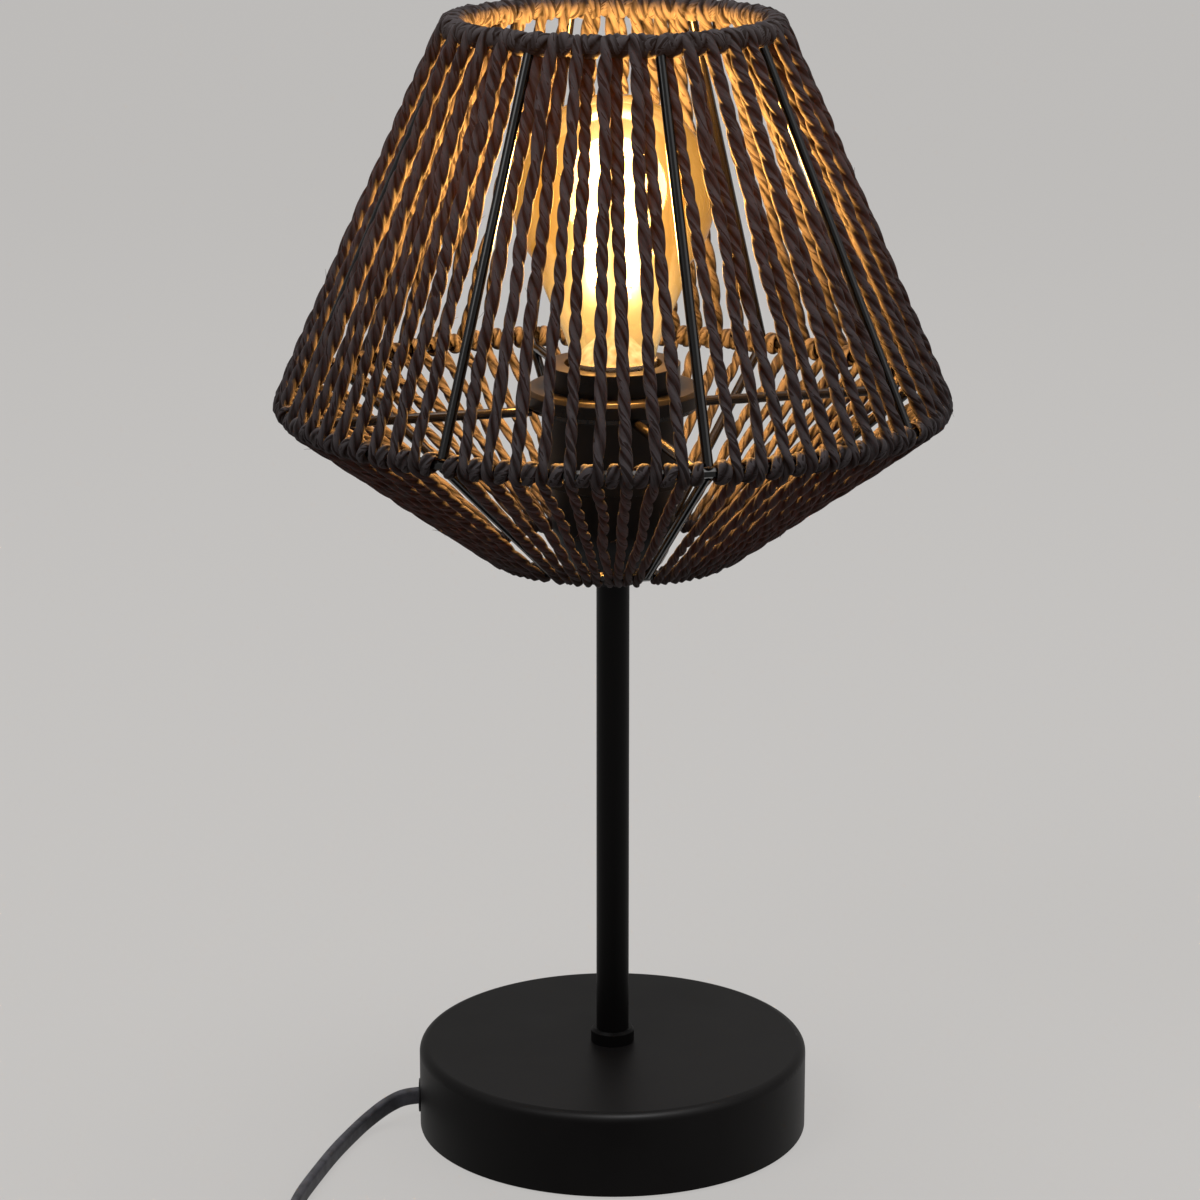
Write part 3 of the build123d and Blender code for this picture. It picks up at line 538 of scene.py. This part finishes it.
class Tubes:
    """Collects many tubes into one mesh, with the relief's height and the grain at each point."""

    grain_apart = 9.0

    def __init__(self) -> None:
        """Starts with no tube."""
        self.vertices: list[Vector] = []
        self.faces: list[tuple[int, ...]] = []
        self.crest: list[float] = []
        self.grain: list[float] = []
        self.count = 0

    def add(
        self, path: Sequence[Vector], rings: Sequence[Section], up: Vector | None = None,
        beside: Vector | None = None, closed: bool = False) -> None:
        """Adds one tube.

        Args:
            path: Points of its centre line.
            rings: The section at each point: offsets along both axes and the height on the relief.
            up: Direction of the section's first axis.
            beside: Direction that the first axis is square to, where no other is given.
            closed: Whether the tube's end meets its start.
        """
        first = len(self.vertices)
        last = len(path) - 1
        count = len(rings[0])
        run = 0.0
        self.count += 1
        for k, (point, ring) in enumerate(zip(path, rings)):
            if closed:
                heading = path[(k + 1) % len(path)] - path[k - 1]
            else:
                heading = path[min(k + 1, last)] - path[max(k - 1, 0)]
            heading.normalize()
            across = heading.cross(beside) if up is None else up
            across = (across - heading * across.dot(heading)).normalized()
            other = heading.cross(across)
            run += (point - path[max(k - 1, 0)]).length / MM
            girth = TURN * math.hypot(*ring[0][:2]) / MM
            for j, (u, v, height) in enumerate(ring):
                self.vertices.append(point + across * u + other * v)
                self.crest.append(height)
                self.grain += [girth * j / count, run, self.grain_apart * self.count]
        for k in range(len(path) if closed else last):
            low = first + k * count
            high = first + (k + 1) % len(path) * count
            for j in range(count):
                following = (j + 1) % count
                self.faces.append((low + j, low + following, high + following, high + j))
        if not closed:
            self.faces.append(tuple(range(first, first + count))[::-1])
            end = first + last * count
            self.faces.append(tuple(range(end, end + count)))


def add_piece(
    name: str, vertices: Sequence[Vector], faces: Sequence[Sequence[int]], finish: Finish, body: Body,
    replaced: Iterable[str], tubes: Tubes | None = None) -> bpy.types.Object:
    """Makes one smooth mesh piece that rides on a body.

    Args:
        name: Piece name.
        vertices: Points in metres, in the lamp's frame.
        faces: Vertex numbers of each face.
        finish: Finish of the whole piece.
        body: Body that it moves with.
        replaced: Nodes that it stands for.
        tubes: Where the points come from, for a finish that needs the relief's height and the grain.

    Returns:
        The new object.
    """
    mesh = bpy.data.meshes.new(name)
    mesh.from_pydata(vertices, [], faces)
    mesh.polygons.foreach_set("use_smooth", [True] * len(mesh.polygons))
    if tubes is not None:
        mesh.attributes.new("crest", "FLOAT", "POINT").data.foreach_set("value", tubes.crest)
        mesh.attributes.new("grain", "FLOAT_VECTOR", "POINT").data.foreach_set("vector", tubes.grain)
    mesh.materials.append(finish.material())
    mesh.update()
    piece = add_object(name, mesh)
    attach(piece, body.value)
    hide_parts(*replaced)
    log.info("%s: %d faces on %s", name, len(faces), body.value)
    return piece


@dataclass(frozen=True)
class Twist:
    """Section of a cord of two plies; depths are shares of its radius."""

    points: int = 16
    depth: float = 0.22
    groove: float = 0.24
    crest_power: float = 1.3
    groove_power: int = 3

    def section(self, radius: float, turn: float, tight: float = 1.0) -> Section:
        """Outline at one place along the cord.

        Args:
            radius: Outer radius there.
            turn: Angle of the plies there.
            tight: How far the plies stand apart, against the usual.

        Returns:
            Offsets along both axes, and the relief's height.
        """
        depth = self.depth * tight
        groove = self.groove * tight
        ply = 1 - depth
        ring = []
        for j in range(self.points):
            angle = TURN * (j / self.points + 0.25) + turn
            along = abs(math.cos(angle - turn))
            reach = depth * along + math.sqrt(ply ** 2 - depth ** 2 * (1 - along ** 2))
            reach = radius * (reach - groove * (1 - along) ** self.groove_power)
            ring.append((reach * math.cos(angle), reach * math.sin(angle), along ** self.crest_power))
        return ring


@dataclass(frozen=True)
class Ring:
    """One wire hoop of the shade's frame, in metres."""

    radius: float
    height: float

    def point(self, offset: float, angle: float) -> Pair:
        """Radius and height of a point beside the wire."""
        return self.radius + offset * math.cos(angle), self.height + offset * math.sin(angle)

    def slope(self, other: "Ring") -> float:
        """Angle, outwards and up, of the side of a straight line to another hoop."""
        return math.atan2(other.radius - self.radius, self.height - other.height)


@dataclass
class Shade:
    """Paper cord strung from hoop to hoop, and wound round the top and the middle one.

    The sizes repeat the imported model's, in metres and degrees. A pair of sizes is a least and a most.
    """

    top: Ring = Ring(0.0472, 0.3414)
    middle: Ring = Ring(0.0972, 0.23075)
    bottom: Ring = Ring(0.036, 0.1856)
    ribs: int = 8
    first_rib: float = 15.5
    per_panel: int = 10
    seed: int = 7
    finish: PaperCord = PaperCord()
    twist: Twist = Twist()
    # Strands: their radii at the hoops, and how they pass over these.
    strand_top: float = 0.00205
    strand: float = 0.0018
    strand_low: float = 0.0014
    pairing: float = 0.36
    over: float = 0.0021
    under_share: float = 0.85
    hook: float = 235.0
    hook_step: float = 18.0
    hook_points: int = 14
    bend_points: int = 7
    under_points: int = 13
    step: float = 0.0013
    # Accidents of each strand: length of a full twist, wandering, thickness and tightness.
    lay: float = 0.018
    lay_share: Pair = (0.9, 1.15)
    sways: int = 2
    sway: float = 0.0004
    sway_long: Pair = (0.03, 0.06)
    any_phase: float = 6.28
    swell: Pair = (0.94, 1.06)
    tight: Pair = (0.7, 1.1)
    uneven: float = 0.06
    uneven_rate: float = 0.21
    uneven_phase: float = 5.0
    loose: float = 0.8
    loose_rate: float = 0.11
    loose_phase: float = 3.0
    # Loose fibres on each strand. A real one is about 0.05 mm thick, and is drawn thicker so that it shows.
    hairs: int = 5
    hair: float = 0.00011
    hair_thins: float = 0.7
    hair_root: float = 0.8
    hair_points: int = 5
    hair_long: Pair = (0.002, 0.005)
    hair_lift: Pair = (0.2, 0.6)
    hair_margin: int = 20
    # Turns of cord on the hoops.
    wrap: float = 0.00315
    wire: float = 0.0015
    wrap_extra: float = 0.0002
    wrap_points: int = 26
    wrap_lean: Pair = (0.0002, 0.0009)
    wrap_swell: Pair = (0.95, 1.1)
    middle_half: float = 0.0020
    top_half: float = 0.0026

    @property
    def count(self) -> int:
        """Places for strands, round the whole shade."""
        return self.ribs * self.per_panel

    @property
    def pitch(self) -> float:
        """Degrees from one strand's place to the next."""
        return 360 / self.count

    def directions(self, place: float) -> tuple[Vector, Vector]:
        """Directions outwards and aside, at a strand's place."""
        angle = math.radians(self.first_rib + self.pitch * place)
        return Vector((math.sin(angle), -math.cos(angle), 0)), Vector((math.cos(angle), math.sin(angle), 0))

    def outline_points(self, inside: bool) -> list[Pair]:
        """Centre line of a strand in its plane: over the top hoop, down, round the middle one and under.

        Args:
            inside: Whether it leaves the top hoop on the inner side.

        Returns:
            Radius and height of each point.
        """
        upper = self.top.slope(self.middle)
        lower = self.middle.slope(self.bottom)
        way = -1 if inside else 1
        turned = math.pi if inside else 0.0
        points = []
        for k in range(self.hook_points):
            hooked = math.radians(self.hook - self.hook_step * k)
            points.append(self.top.point(self.over, upper + turned + way * hooked))
        for k in range(self.bend_points):
            points.append(self.middle.point(self.over, upper + (lower - upper) * k / (self.bend_points - 1)))
        for k in range(self.under_points):
            under = lower - math.radians(self.hook_step * k)
            points.append(self.bottom.point(self.over * self.under_share, under))
        return points

    def resampled(self, points: Sequence[Pair]) -> list[Pair]:
        """Spreads points evenly along a line.

        Args:
            points: Corners of the line.

        Returns:
            Points on the same line, one step apart.
        """
        line = [Vector(point) for point in points]
        result = [line[0]]
        carry = 0.0
        for start, end in zip(line, line[1:]):
            length = (end - start).length
            place = self.step - carry
            while place <= length:
                result.append(start.lerp(end, place / length))
                place += self.step
            carry = (carry + length) % self.step
        return [(p.x, p.y) for p in result]

    def thickness(self, height: float) -> float:
        """Finds how thick a strand is: full under the top hoop, and pressed thin at the bottom one.

        Args:
            height: Height of a point on it.

        Returns:
            The strand's radius there.
        """
        if height > self.middle.height:
            share = min((height - self.middle.height) / (self.top.height - self.middle.height), 1)
            return self.strand + (self.strand_top - self.strand) * share
        share = max((height - self.bottom.height) / (self.middle.height - self.bottom.height), 0)
        return self.strand_low + (self.strand - self.strand_low) * share

    def paired(self, height: float) -> float:
        """How far an inner strand lies towards its neighbour at a height, in places."""
        share = (height - self.middle.height) / (self.top.height - self.middle.height)
        return -self.pairing * min(max(share, 0), 1)

    def fibres(self, tubes: Tubes, path: Sequence[Vector], chance: random.Random) -> None:
        """Adds the paper's loose ends to a strand: short hairs that lift off it and catch the light.

        Args:
            tubes: Where they go.
            path: Centre line of the strand.
            chance: Source of the accidents.
        """
        for _ in range(self.hairs):
            k = chance.randrange(self.hair_margin, len(path) - self.hair_margin)
            heading = (path[k + 1] - path[k]).normalized() * chance.choice((-1, 1))
            away = Vector([chance.uniform(-1, 1) for _ in range(3)])
            away = (away - heading * away.dot(heading)).normalized()
            long = chance.uniform(*self.hair_long)
            lift = chance.uniform(*self.hair_lift)
            hair = []
            rings = []
            for j in range(self.hair_points):
                share = j / (self.hair_points - 1)
                raised = self.strand * self.hair_root + long * lift * share ** 2
                hair.append(path[k] + heading * long * share + away * raised)
                thin = (1 - self.hair_thins * share) * self.hair
                rings.append([(thin * u, thin * v, 1.0) for u, v in ((1, 0), (0, 1), (-1, 0), (0, -1))])
            tubes.add(hair, rings, up=away)

    def string(self, tubes: Tubes, place: int, line: Sequence[Pair], chance: random.Random) -> None:
        """Adds one strand, with its own twist and small wanderings.

        Args:
            tubes: Where it goes.
            place: Its place round the shade; every other strand is an inner one.
            line: Radius and height of each point.
            chance: Source of the accidents.
        """
        out, beside = self.directions(place)
        phase = chance.uniform(0, TURN)
        lay = self.lay * chance.uniform(*self.lay_share)
        sways = []
        for _ in range(self.sways):
            size = chance.uniform(-1, 1) * self.sway
            sways.append((size, chance.uniform(0, self.any_phase), chance.uniform(*self.sway_long)))
        swell = chance.uniform(*self.swell)
        tight = chance.uniform(*self.tight)
        path = []
        rings = []
        for k, (radius, height) in enumerate(line):
            along = k * self.step
            shift = sum(size * math.sin(TURN * along / wave + start) for size, start, wave in sways)
            shift += place % 2 * self.paired(height) * math.radians(self.pitch) * radius
            path.append(out * radius + UP * height + beside * shift)
            uneven = 1 + self.uneven * math.sin(k * self.uneven_rate + self.uneven_phase * phase)
            loose = self.loose * math.sin(k * self.loose_rate + self.loose_phase * phase)
            turn = phase + loose - TURN * along / lay
            rings.append(self.twist.section(self.thickness(height) * swell * uneven, turn, tight))
        tubes.add(path, rings, beside=beside)
        self.fibres(tubes, path, chance)

    def strung(self) -> None:
        """Makes all strands, as a piece for each quarter."""
        lines = [self.resampled(self.outline_points(inside)) for inside in (False, True)]
        chance = random.Random(self.seed)
        quarters = {quarter: Tubes() for quarter in Quarter}
        for place in range(self.count):
            if place % self.per_panel:
                tubes = quarters[list(Quarter)[place * len(Quarter) // self.count]]
                self.string(tubes, place, lines[place % 2], chance)
        for quarter, tubes in quarters.items():
            add_piece(
                f"strung_cord_{quarter.value}", tubes.vertices, tubes.faces, self.finish, Body.LAMP,
                ("upper_strands", "lower_strands", "bottom_wrap"), tubes)

    def knuckles(self, name: str, ring: Ring, places: Sequence[float], half_wide: float, replaced: str) -> None:
        """Makes turns of cord round a hoop, between its strands.

        Args:
            name: Piece name.
            ring: The hoop.
            places: Where the turns are, in strand places.
            half_wide: Half of a turn's width along the hoop.
            replaced: Node that they stand for.
        """
        tubes = Tubes()
        chance = random.Random(self.seed + len(places))
        half_thick = (self.wrap - self.wire) / 2 + self.wrap_extra
        for place in places:
            out, beside = self.directions(place)
            lean = chance.uniform(*self.wrap_lean)
            phase = chance.uniform(0, self.any_phase)
            wide = half_wide * chance.uniform(*self.wrap_swell)
            path = []
            rings = []
            for k in range(self.wrap_points):
                turn = TURN * k / self.wrap_points
                radius, height = ring.point(self.wire + half_thick, turn)
                path.append(out * radius + UP * height + beside * (lean * math.sin(turn)))
                plies = self.twist.section(wide, phase + turn)
                rings.append([(u * half_thick / wide, v, crest) for u, v, crest in plies])
            tubes.add(path, rings, beside=beside, closed=True)
        add_piece(name, tubes.vertices, tubes.faces, self.finish, Body.LAMP, (replaced,), tubes)

    def build(self) -> None:
        """Makes the whole of the shade's cord."""
        self.strung()
        between = [k + 0.5 for k in range(self.count)]
        self.knuckles("middle_knuckles", self.middle, between, self.middle_half, "middle_wrap")
        inner = [k for k in range(self.count) if k % 2 or k % self.per_panel == 0]
        self.knuckles("top_knuckles", self.top, inner, self.top_half, "top_wrap")


@dataclass
class Bulb:
    """Blown glass bulb and the light in it, in metres and degrees."""

    radius: float = 0.030
    middle_z: float = 0.2917
    neck_r: float = 0.0126
    neck_z: float = 0.2432
    round_from: float = -42.0
    neck_rows: int = 13
    neck_lean: float = 0.65
    round_rows: int = 26
    segments: int = 72
    light_watts: float = 10.5
    light_tint: str = "#ffcf92"
    light_size: float = 0.018
    light_below: float = 0.004
    glass: LitGlass = LitGlass()

    def profile(self) -> list[Pair]:
        """Outline of the glass: a neck that leans out, and a round head.

        Returns:
            Radius and height of each row of points, upwards.
        """
        start = math.radians(self.round_from)
        meet_r = math.cos(start) * self.radius
        meet_z = self.middle_z + math.sin(start) * self.radius
        points = []
        for k in range(self.neck_rows):
            share = k / self.neck_rows
            curved = share * share * (3 - 2 * share)
            lean = (1 - self.neck_lean) * share + self.neck_lean * curved
            radius = self.neck_r + (meet_r - self.neck_r) * lean
            points.append((radius, self.neck_z + (meet_z - self.neck_z) * share))
        for k in range(self.round_rows):
            angle = start + (math.pi / 2 - start) * k / self.round_rows
            points.append((self.radius * math.cos(angle), self.middle_z + self.radius * math.sin(angle)))
        return points

    def globe(self) -> None:
        """Makes the glass as one closed skin."""
        rows = self.profile()
        vertices: list[Vector] = []
        for radius, height in rows:
            for j in range(self.segments):
                turn = TURN * j / self.segments
                vertices.append(Vector((radius * math.cos(turn), radius * math.sin(turn), height)))
        vertices.append(Vector((0, 0, self.middle_z + self.radius)))
        faces: list[tuple[int, ...]] = [tuple(range(self.segments))[::-1]]
        for j in range(self.segments):
            beside = (j + 1) % self.segments
            for k in range(len(rows) - 1):
                low = k * self.segments
                faces.append((low + j, low + beside, low + beside + self.segments, low + j + self.segments))
            crown = (len(rows) - 1) * self.segments
            faces.append((crown + j, crown + beside, len(vertices) - 1))
        add_piece("bulb_globe", vertices, faces, self.glass, Body.BULB, ("bulb_glass",))

    def light(self, dark: Sequence[bpy.types.Object]) -> None:
        """Sets the light in the glass.

        Args:
            dark: The floor and what lies on it, which the light leaves alone.
        """
        lamp = bpy.data.lights.new("bulb_light", "POINT")
        lamp.energy = self.light_watts
        lamp.color = linear(self.light_tint)[:3]
        lamp.shadow_soft_size = self.light_size
        light = add_object("bulb_light", lamp)
        light.location = (0, 0, self.middle_z - self.light_below)
        kept_dark = bpy.data.collections.new("kept_dark")
        for piece in dark:
            kept_dark.objects.link(piece)
        for member in kept_dark.collection_objects:
            member.light_linking.link_state = "EXCLUDE"
        light.light_linking.receiver_collection = kept_dark


@dataclass
class Flex:
    """Flat twin flex on its edge: two round conductors in one sheath, in metres."""

    wide: float = 0.0054
    thin: float = 0.0032
    points: int = 20
    lobe_rise: float = 4.0
    waist_deep: float = 0.26
    waist_wide: float = 0.22
    smoothness: int = 10
    order: int = 3
    finish: Finish = SHEATH

    def spline_points(self, name: str, route: Sequence[Point]) -> list[Vector]:
        """Points along a smooth line through a route.

        Args:
            name: Name for the guide curve.
            route: Control points in metres.

        Returns:
            Points read from the curve.
        """
        curve = bpy.data.curves.new(f"{name}_guide", "CURVE")
        curve.dimensions = "3D"
        curve.resolution_u = self.smoothness
        spline = curve.splines.new("NURBS")
        spline.points.add(len(route) - 1)
        for point, place in zip(spline.points, route):
            point.co = (*place, 1)
        spline.order_u = self.order
        spline.use_endpoint_u = True
        guide = bpy.data.objects.new(f"{name}_guide", curve)
        mesh = bpy.data.meshes.new_from_object(guide)
        points = [vertex.co.copy() for vertex in mesh.vertices]
        bpy.data.objects.remove(guide)
        bpy.data.meshes.remove(mesh)
        bpy.data.curves.remove(curve)
        return points

    def section(self) -> Section:
        """Figure of two lobes with a waist between them.

        Returns:
            Offsets upright and aside, and the relief's height.
        """
        lobe = self.thin / 2
        apart = self.wide / 2 - lobe
        ring = []
        for j in range(self.points):
            angle = TURN * j / self.points
            up, across = math.cos(angle), math.sin(angle)
            waist = 1 - self.waist_deep * math.exp(-(up / self.waist_wide) ** 2)
            aside = math.copysign(min(1, abs(up) * self.lobe_rise), up) * apart
            ring.append((up * lobe + aside, across * lobe * waist, 0.0))
        return ring

    def lay(
        self, name: str, route: Sequence[Point], far_end: str, lay: str, replaced: Sequence[str],
        on_it: Sequence[str]) -> bpy.types.Object:
        """Args:
            name: Piece name.
            route: Control points in metres.
            far_end: What is on its far end; not used.
            lay: How it lies; not used.
            replaced: Nodes that it stands for.
            on_it: Nodes that are on it; not used.

        Returns:
            The piece.
        """
        path = self.spline_points(name, route)
        tubes = Tubes()
        tubes.add(path, [self.section()] * len(path), up=UP)
        piece = add_piece(name, tubes.vertices, tubes.faces, self.finish, Body.LAMP, replaced)
        return piece


@dataclass
class FlexRoute:
    """Where the flex lies: along listed points to the switch, then wound up in two layers, in metres."""

    floor: float = 0.00275
    exit_z: float = 0.0085
    switch_y: float = -0.1145
    switch_z: float = 0.007
    coil_x: float = 0.062
    coil_r: float = 0.035
    coil_z: float = 0.00385
    coil_lead: float = 0.0054
    turns: int = 4
    half_change: float = 0.25
    step: float = 0.0038
    layer: float = 0.0064
    dip: float = 0.6
    plug_z: float = 0.00685
    per_turn: int = 16

    def lead(self) -> list[Point]:
        """Goes from inside the base to the switch.

        Returns:
            The control points.
        """
        low = self.floor
        return [
            (-0.0565, 0, self.exit_z), (-0.0636, 0, self.exit_z), (-0.070, -0.0024, 0.0064),
            (-0.0764, -0.009, 0.0036), (-0.081, -0.0195, low), (-0.0852, -0.0325, low), (-0.0892, -0.048, low),
            (-0.0932, -0.0645, low), (-0.095, -0.080, low), (-0.090, -0.096, low), (-0.078, -0.108, 0.0032),
            (-0.062, -0.1135, 0.0052), (-0.046, self.switch_y, self.switch_z),
            (-0.036, self.switch_y, self.switch_z)]

    def coil_point(self, turn: float) -> Point:
        """Point of the coil: in below, up a layer, and out above.

        Args:
            turn: Turns since its start.

        Returns:
            The control point there.
        """
        from_middle = turn - self.turns - self.half_change
        radius = self.coil_r - self.step * (self.turns + self.half_change - abs(from_middle))
        if abs(from_middle) < 2 * self.half_change:
            radius -= self.dip * self.step * math.cos(math.pi * from_middle) ** 2
        share = min(max(2 * from_middle + 2 * self.half_change, 0), 1)
        angle = math.pi / 2 - TURN * turn
        # A smooth line runs inside its control points, which are put out by as much.
        stretched = radius / math.cos(math.pi / self.per_turn) ** 2
        raised = self.layer * (1 - math.cos(math.pi * share)) / 2
        y_middle = self.switch_y - self.coil_r
        return (
            self.coil_x + stretched * math.cos(angle), y_middle + stretched * math.sin(angle),
            self.coil_z + raised)

    def rest(self) -> list[Point]:
        """Goes from the switch through the coil to the plug.

        Returns:
            The control points.
        """
        count = int((2 * self.turns + 2 * self.half_change) * self.per_turn)
        y_out = self.switch_y - 2 * self.coil_r
        above = self.coil_z + self.layer
        coil_start = self.coil_x - self.coil_lead
        start = [
            (0.024, self.switch_y, self.switch_z), (0.0315, self.switch_y, self.switch_z),
            (0.046, self.switch_y, self.coil_z), (coil_start, self.switch_y, self.coil_z)]
        wound = [self.coil_point(k / self.per_turn) for k in range(1, count)]
        end = [
            (coil_start, y_out, above), (0.049, y_out, above),
            (0.037, y_out, self.plug_z), (0.028, y_out, self.plug_z)]
        return start + wound + end


@dataclass(frozen=True)
class Panel:
    """A round soft light, in metres and watts."""

    name: str
    place: Point
    size: float
    watts: float
    # Nodes that it is screened to reach alone; where none is named, it reaches everything.
    reaches: tuple[str, ...] = ()


@dataclass
class Studio:
    """Pale paper sweep, soft lights and the photograph's camera, in metres and degrees."""

    camera_at: Point = (-0.0039, -1.1282, 0.4799)
    tilt: float = 15.41
    lens: float = 116.4
    sensor: float = 36.0
    clip: float = 0.05
    air: str = "#f2f0ee"
    air_light: float = 0.2
    air_seen: float = 0.54
    paper: Backdrop = Backdrop()
    sweep_half: float = 3.0
    sweep_front: float = -2.4
    sweep_back: float = 1.6
    sweep_high: float = 2.6
    sweep_bend: float = 0.8
    bend_steps: int = 12
    aim: Point = (0, 0, 0.18)
    panels: tuple[Panel, ...] = (
        Panel("key_panel", (-0.9, -0.9, 1.5), 0.9, 9),
        Panel("fill_panel", (1.3, -0.7, 1.0), 1.2, 5),
        Panel("top_panel", (0.1, 0.3, 1.8), 1.4, 18),
        # Draws the highlight along the front edge of the base.
        Panel("edge_panel", (0.25, -0.62, 1.5), 0.4, 40, ("base_shell",)),
    )

    def sweep(self) -> bpy.types.Object:
        """Makes the floor, which curves up into a wall behind the lamp.

        Returns:
            The floor.
        """
        bend = self.sweep_bend
        profile = [(self.sweep_front, 0.0)]
        for k in range(self.bend_steps + 1):
            angle = math.pi / 2 * k / self.bend_steps
            profile.append((self.sweep_back + bend * math.sin(angle), bend * (1 - math.cos(angle))))
        profile.append((self.sweep_back + bend, self.sweep_high))
        vertices = [Vector((side * self.sweep_half, y, z)) for y, z in profile for side in (-1, 1)]
        faces = [(2 * k, 2 * k + 1, 2 * k + 3, 2 * k + 2) for k in range(len(profile) - 1)]
        mesh = bpy.data.meshes.new("studio_sweep")
        mesh.from_pydata(vertices, [], faces)
        mesh.polygons.foreach_set("use_smooth", [True] * len(faces))
        mesh.materials.append(self.paper.material())
        floor = add_object("studio_sweep", mesh)
        return floor

    def lights(self) -> None:
        """Sets the soft panels, each of which faces the shade."""
        for panel in self.panels:
            data = bpy.data.lights.new(panel.name, "AREA")
            data.shape = "DISK"
            data.size = panel.size
            data.energy = panel.watts
            light = add_object(panel.name, data)
            light.location = panel.place
            facing = Vector(self.aim) - Vector(panel.place)
            light.rotation_euler = facing.to_track_quat("-Z", "Y").to_euler()
            if panel.reaches:
                reached = bpy.data.collections.new(panel.name)
                for name in panel.reaches:
                    reached.objects.link(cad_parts[name])
                light.light_linking.receiver_collection = reached

    def surroundings(self) -> None:
        """Sets pale air all round, which looks as bright as the sheet and gives less light."""
        world = bpy.data.worlds.new("studio_air")
        nodes = Nodes(world)
        rays = nodes.add("LightPath")
        seen = nodes.add("Math", {0: rays["Is Camera Ray"], 1: rays["Is Glossy Ray"]}, operation="MAXIMUM")[0]
        strength = nodes.add("Math", {
            0: seen, 1: self.air_seen - self.air_light, 2: self.air_light}, operation="MULTIPLY_ADD")[0]
        air = nodes.add("Background", {"Color": linear(self.air), "Strength": strength})[0]
        nodes.add("OutputWorld", {"Surface": air})
        bpy.context.scene.world = world

    def camera(self) -> None:
        """Sets the photograph's camera."""
        data = bpy.data.cameras.new("photo_camera")
        data.lens = self.lens
        data.sensor_width = self.sensor
        data.clip_start = self.clip
        camera = add_object("photo_camera", data)
        camera.location = self.camera_at
        camera.rotation_euler = (math.radians(90 - self.tilt), 0, 0)
        bpy.context.scene.camera = camera

    def build(self) -> bpy.types.Object:
        """Sets floor, lights, air and camera.

        Returns:
            The floor.
        """
        floor = self.sweep()
        self.lights()
        self.surroundings()
        bpy.context.scene.view_settings.view_transform = "Standard"
        self.camera()
        return floor


NODE_FINISHES: dict[Finish, tuple[str, ...]] = {
    COAT: ("base_shell", "stem_tube", "stem_collar"),
    WIRE: ("fitter_ring", "spokes", "top_ring", "middle_ring", "bottom_ring", "upper_ribs", "lower_ribs"),
    HOLDER: ("holder_cap", "holder_body", "clamp_ring"),
    SWITCH: ("switch_lower", "switch_upper", "switch_rocker"),
    SOFT: (
        "cord_grommet", "cord_anchor", "coil_tie", "plug_body", "plug_relief", "pin_sleeves", "inner_flex",
        "bulb_insulator"),
    BRASS: ("screw_shell", "centre_contact", "terminals", "bulb_button", "switch_contacts"),
    NICKEL: ("plug_pins",),
    STEEL: ("base_plate", "stem_washer", "stem_nut", "filament_wires"),
    ALUMINIUM: ("bulb_cap",),
    IRON: ("base_weight",),
    FOAM: ("base_pad",),
    GLAZE: ("holder_insert",),
    FILAMENT: ("filaments",),
    GLASS_STEM: ("glass_mount",),
}


def dress_nodes() -> None:
    """Puts a finish on each node that shows as it is."""
    for finish, names in NODE_FINISHES.items():
        for name in names:
            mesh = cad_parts[name].data
            mesh.materials.clear()
            mesh.materials.append(finish.material())
            log.info("%s: %s", name, finish.name)


def main() -> None:
    """Builds the scene."""
    logging.basicConfig(level=logging.INFO, format="%(name)s %(message)s")
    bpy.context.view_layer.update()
    floor = Studio().build()
    route = FlexRoute()
    flex = Flex()
    switch = ("switch_lower", "switch_upper", "switch_rocker")
    plug = ("coil_tie", "plug_body", "plug_relief", "plug_pins", "pin_sleeves")
    lead = flex.lay("flex_lead", route.lead(), "fitting", "loose", ("cord_lead",), switch[:2])
    wound = flex.lay(
        "flex_wound", route.rest(), "plug", "coiled", ("cord_link", "cord_coil", "cord_tail"), plug)
    Shade().build()
    bulb = Bulb()
    bulb.globe()
    bulb.light([floor, lead, wound, *(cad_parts[name] for name in switch + plug)])
    dress_nodes()


if __name__ == "__main__":
    main()
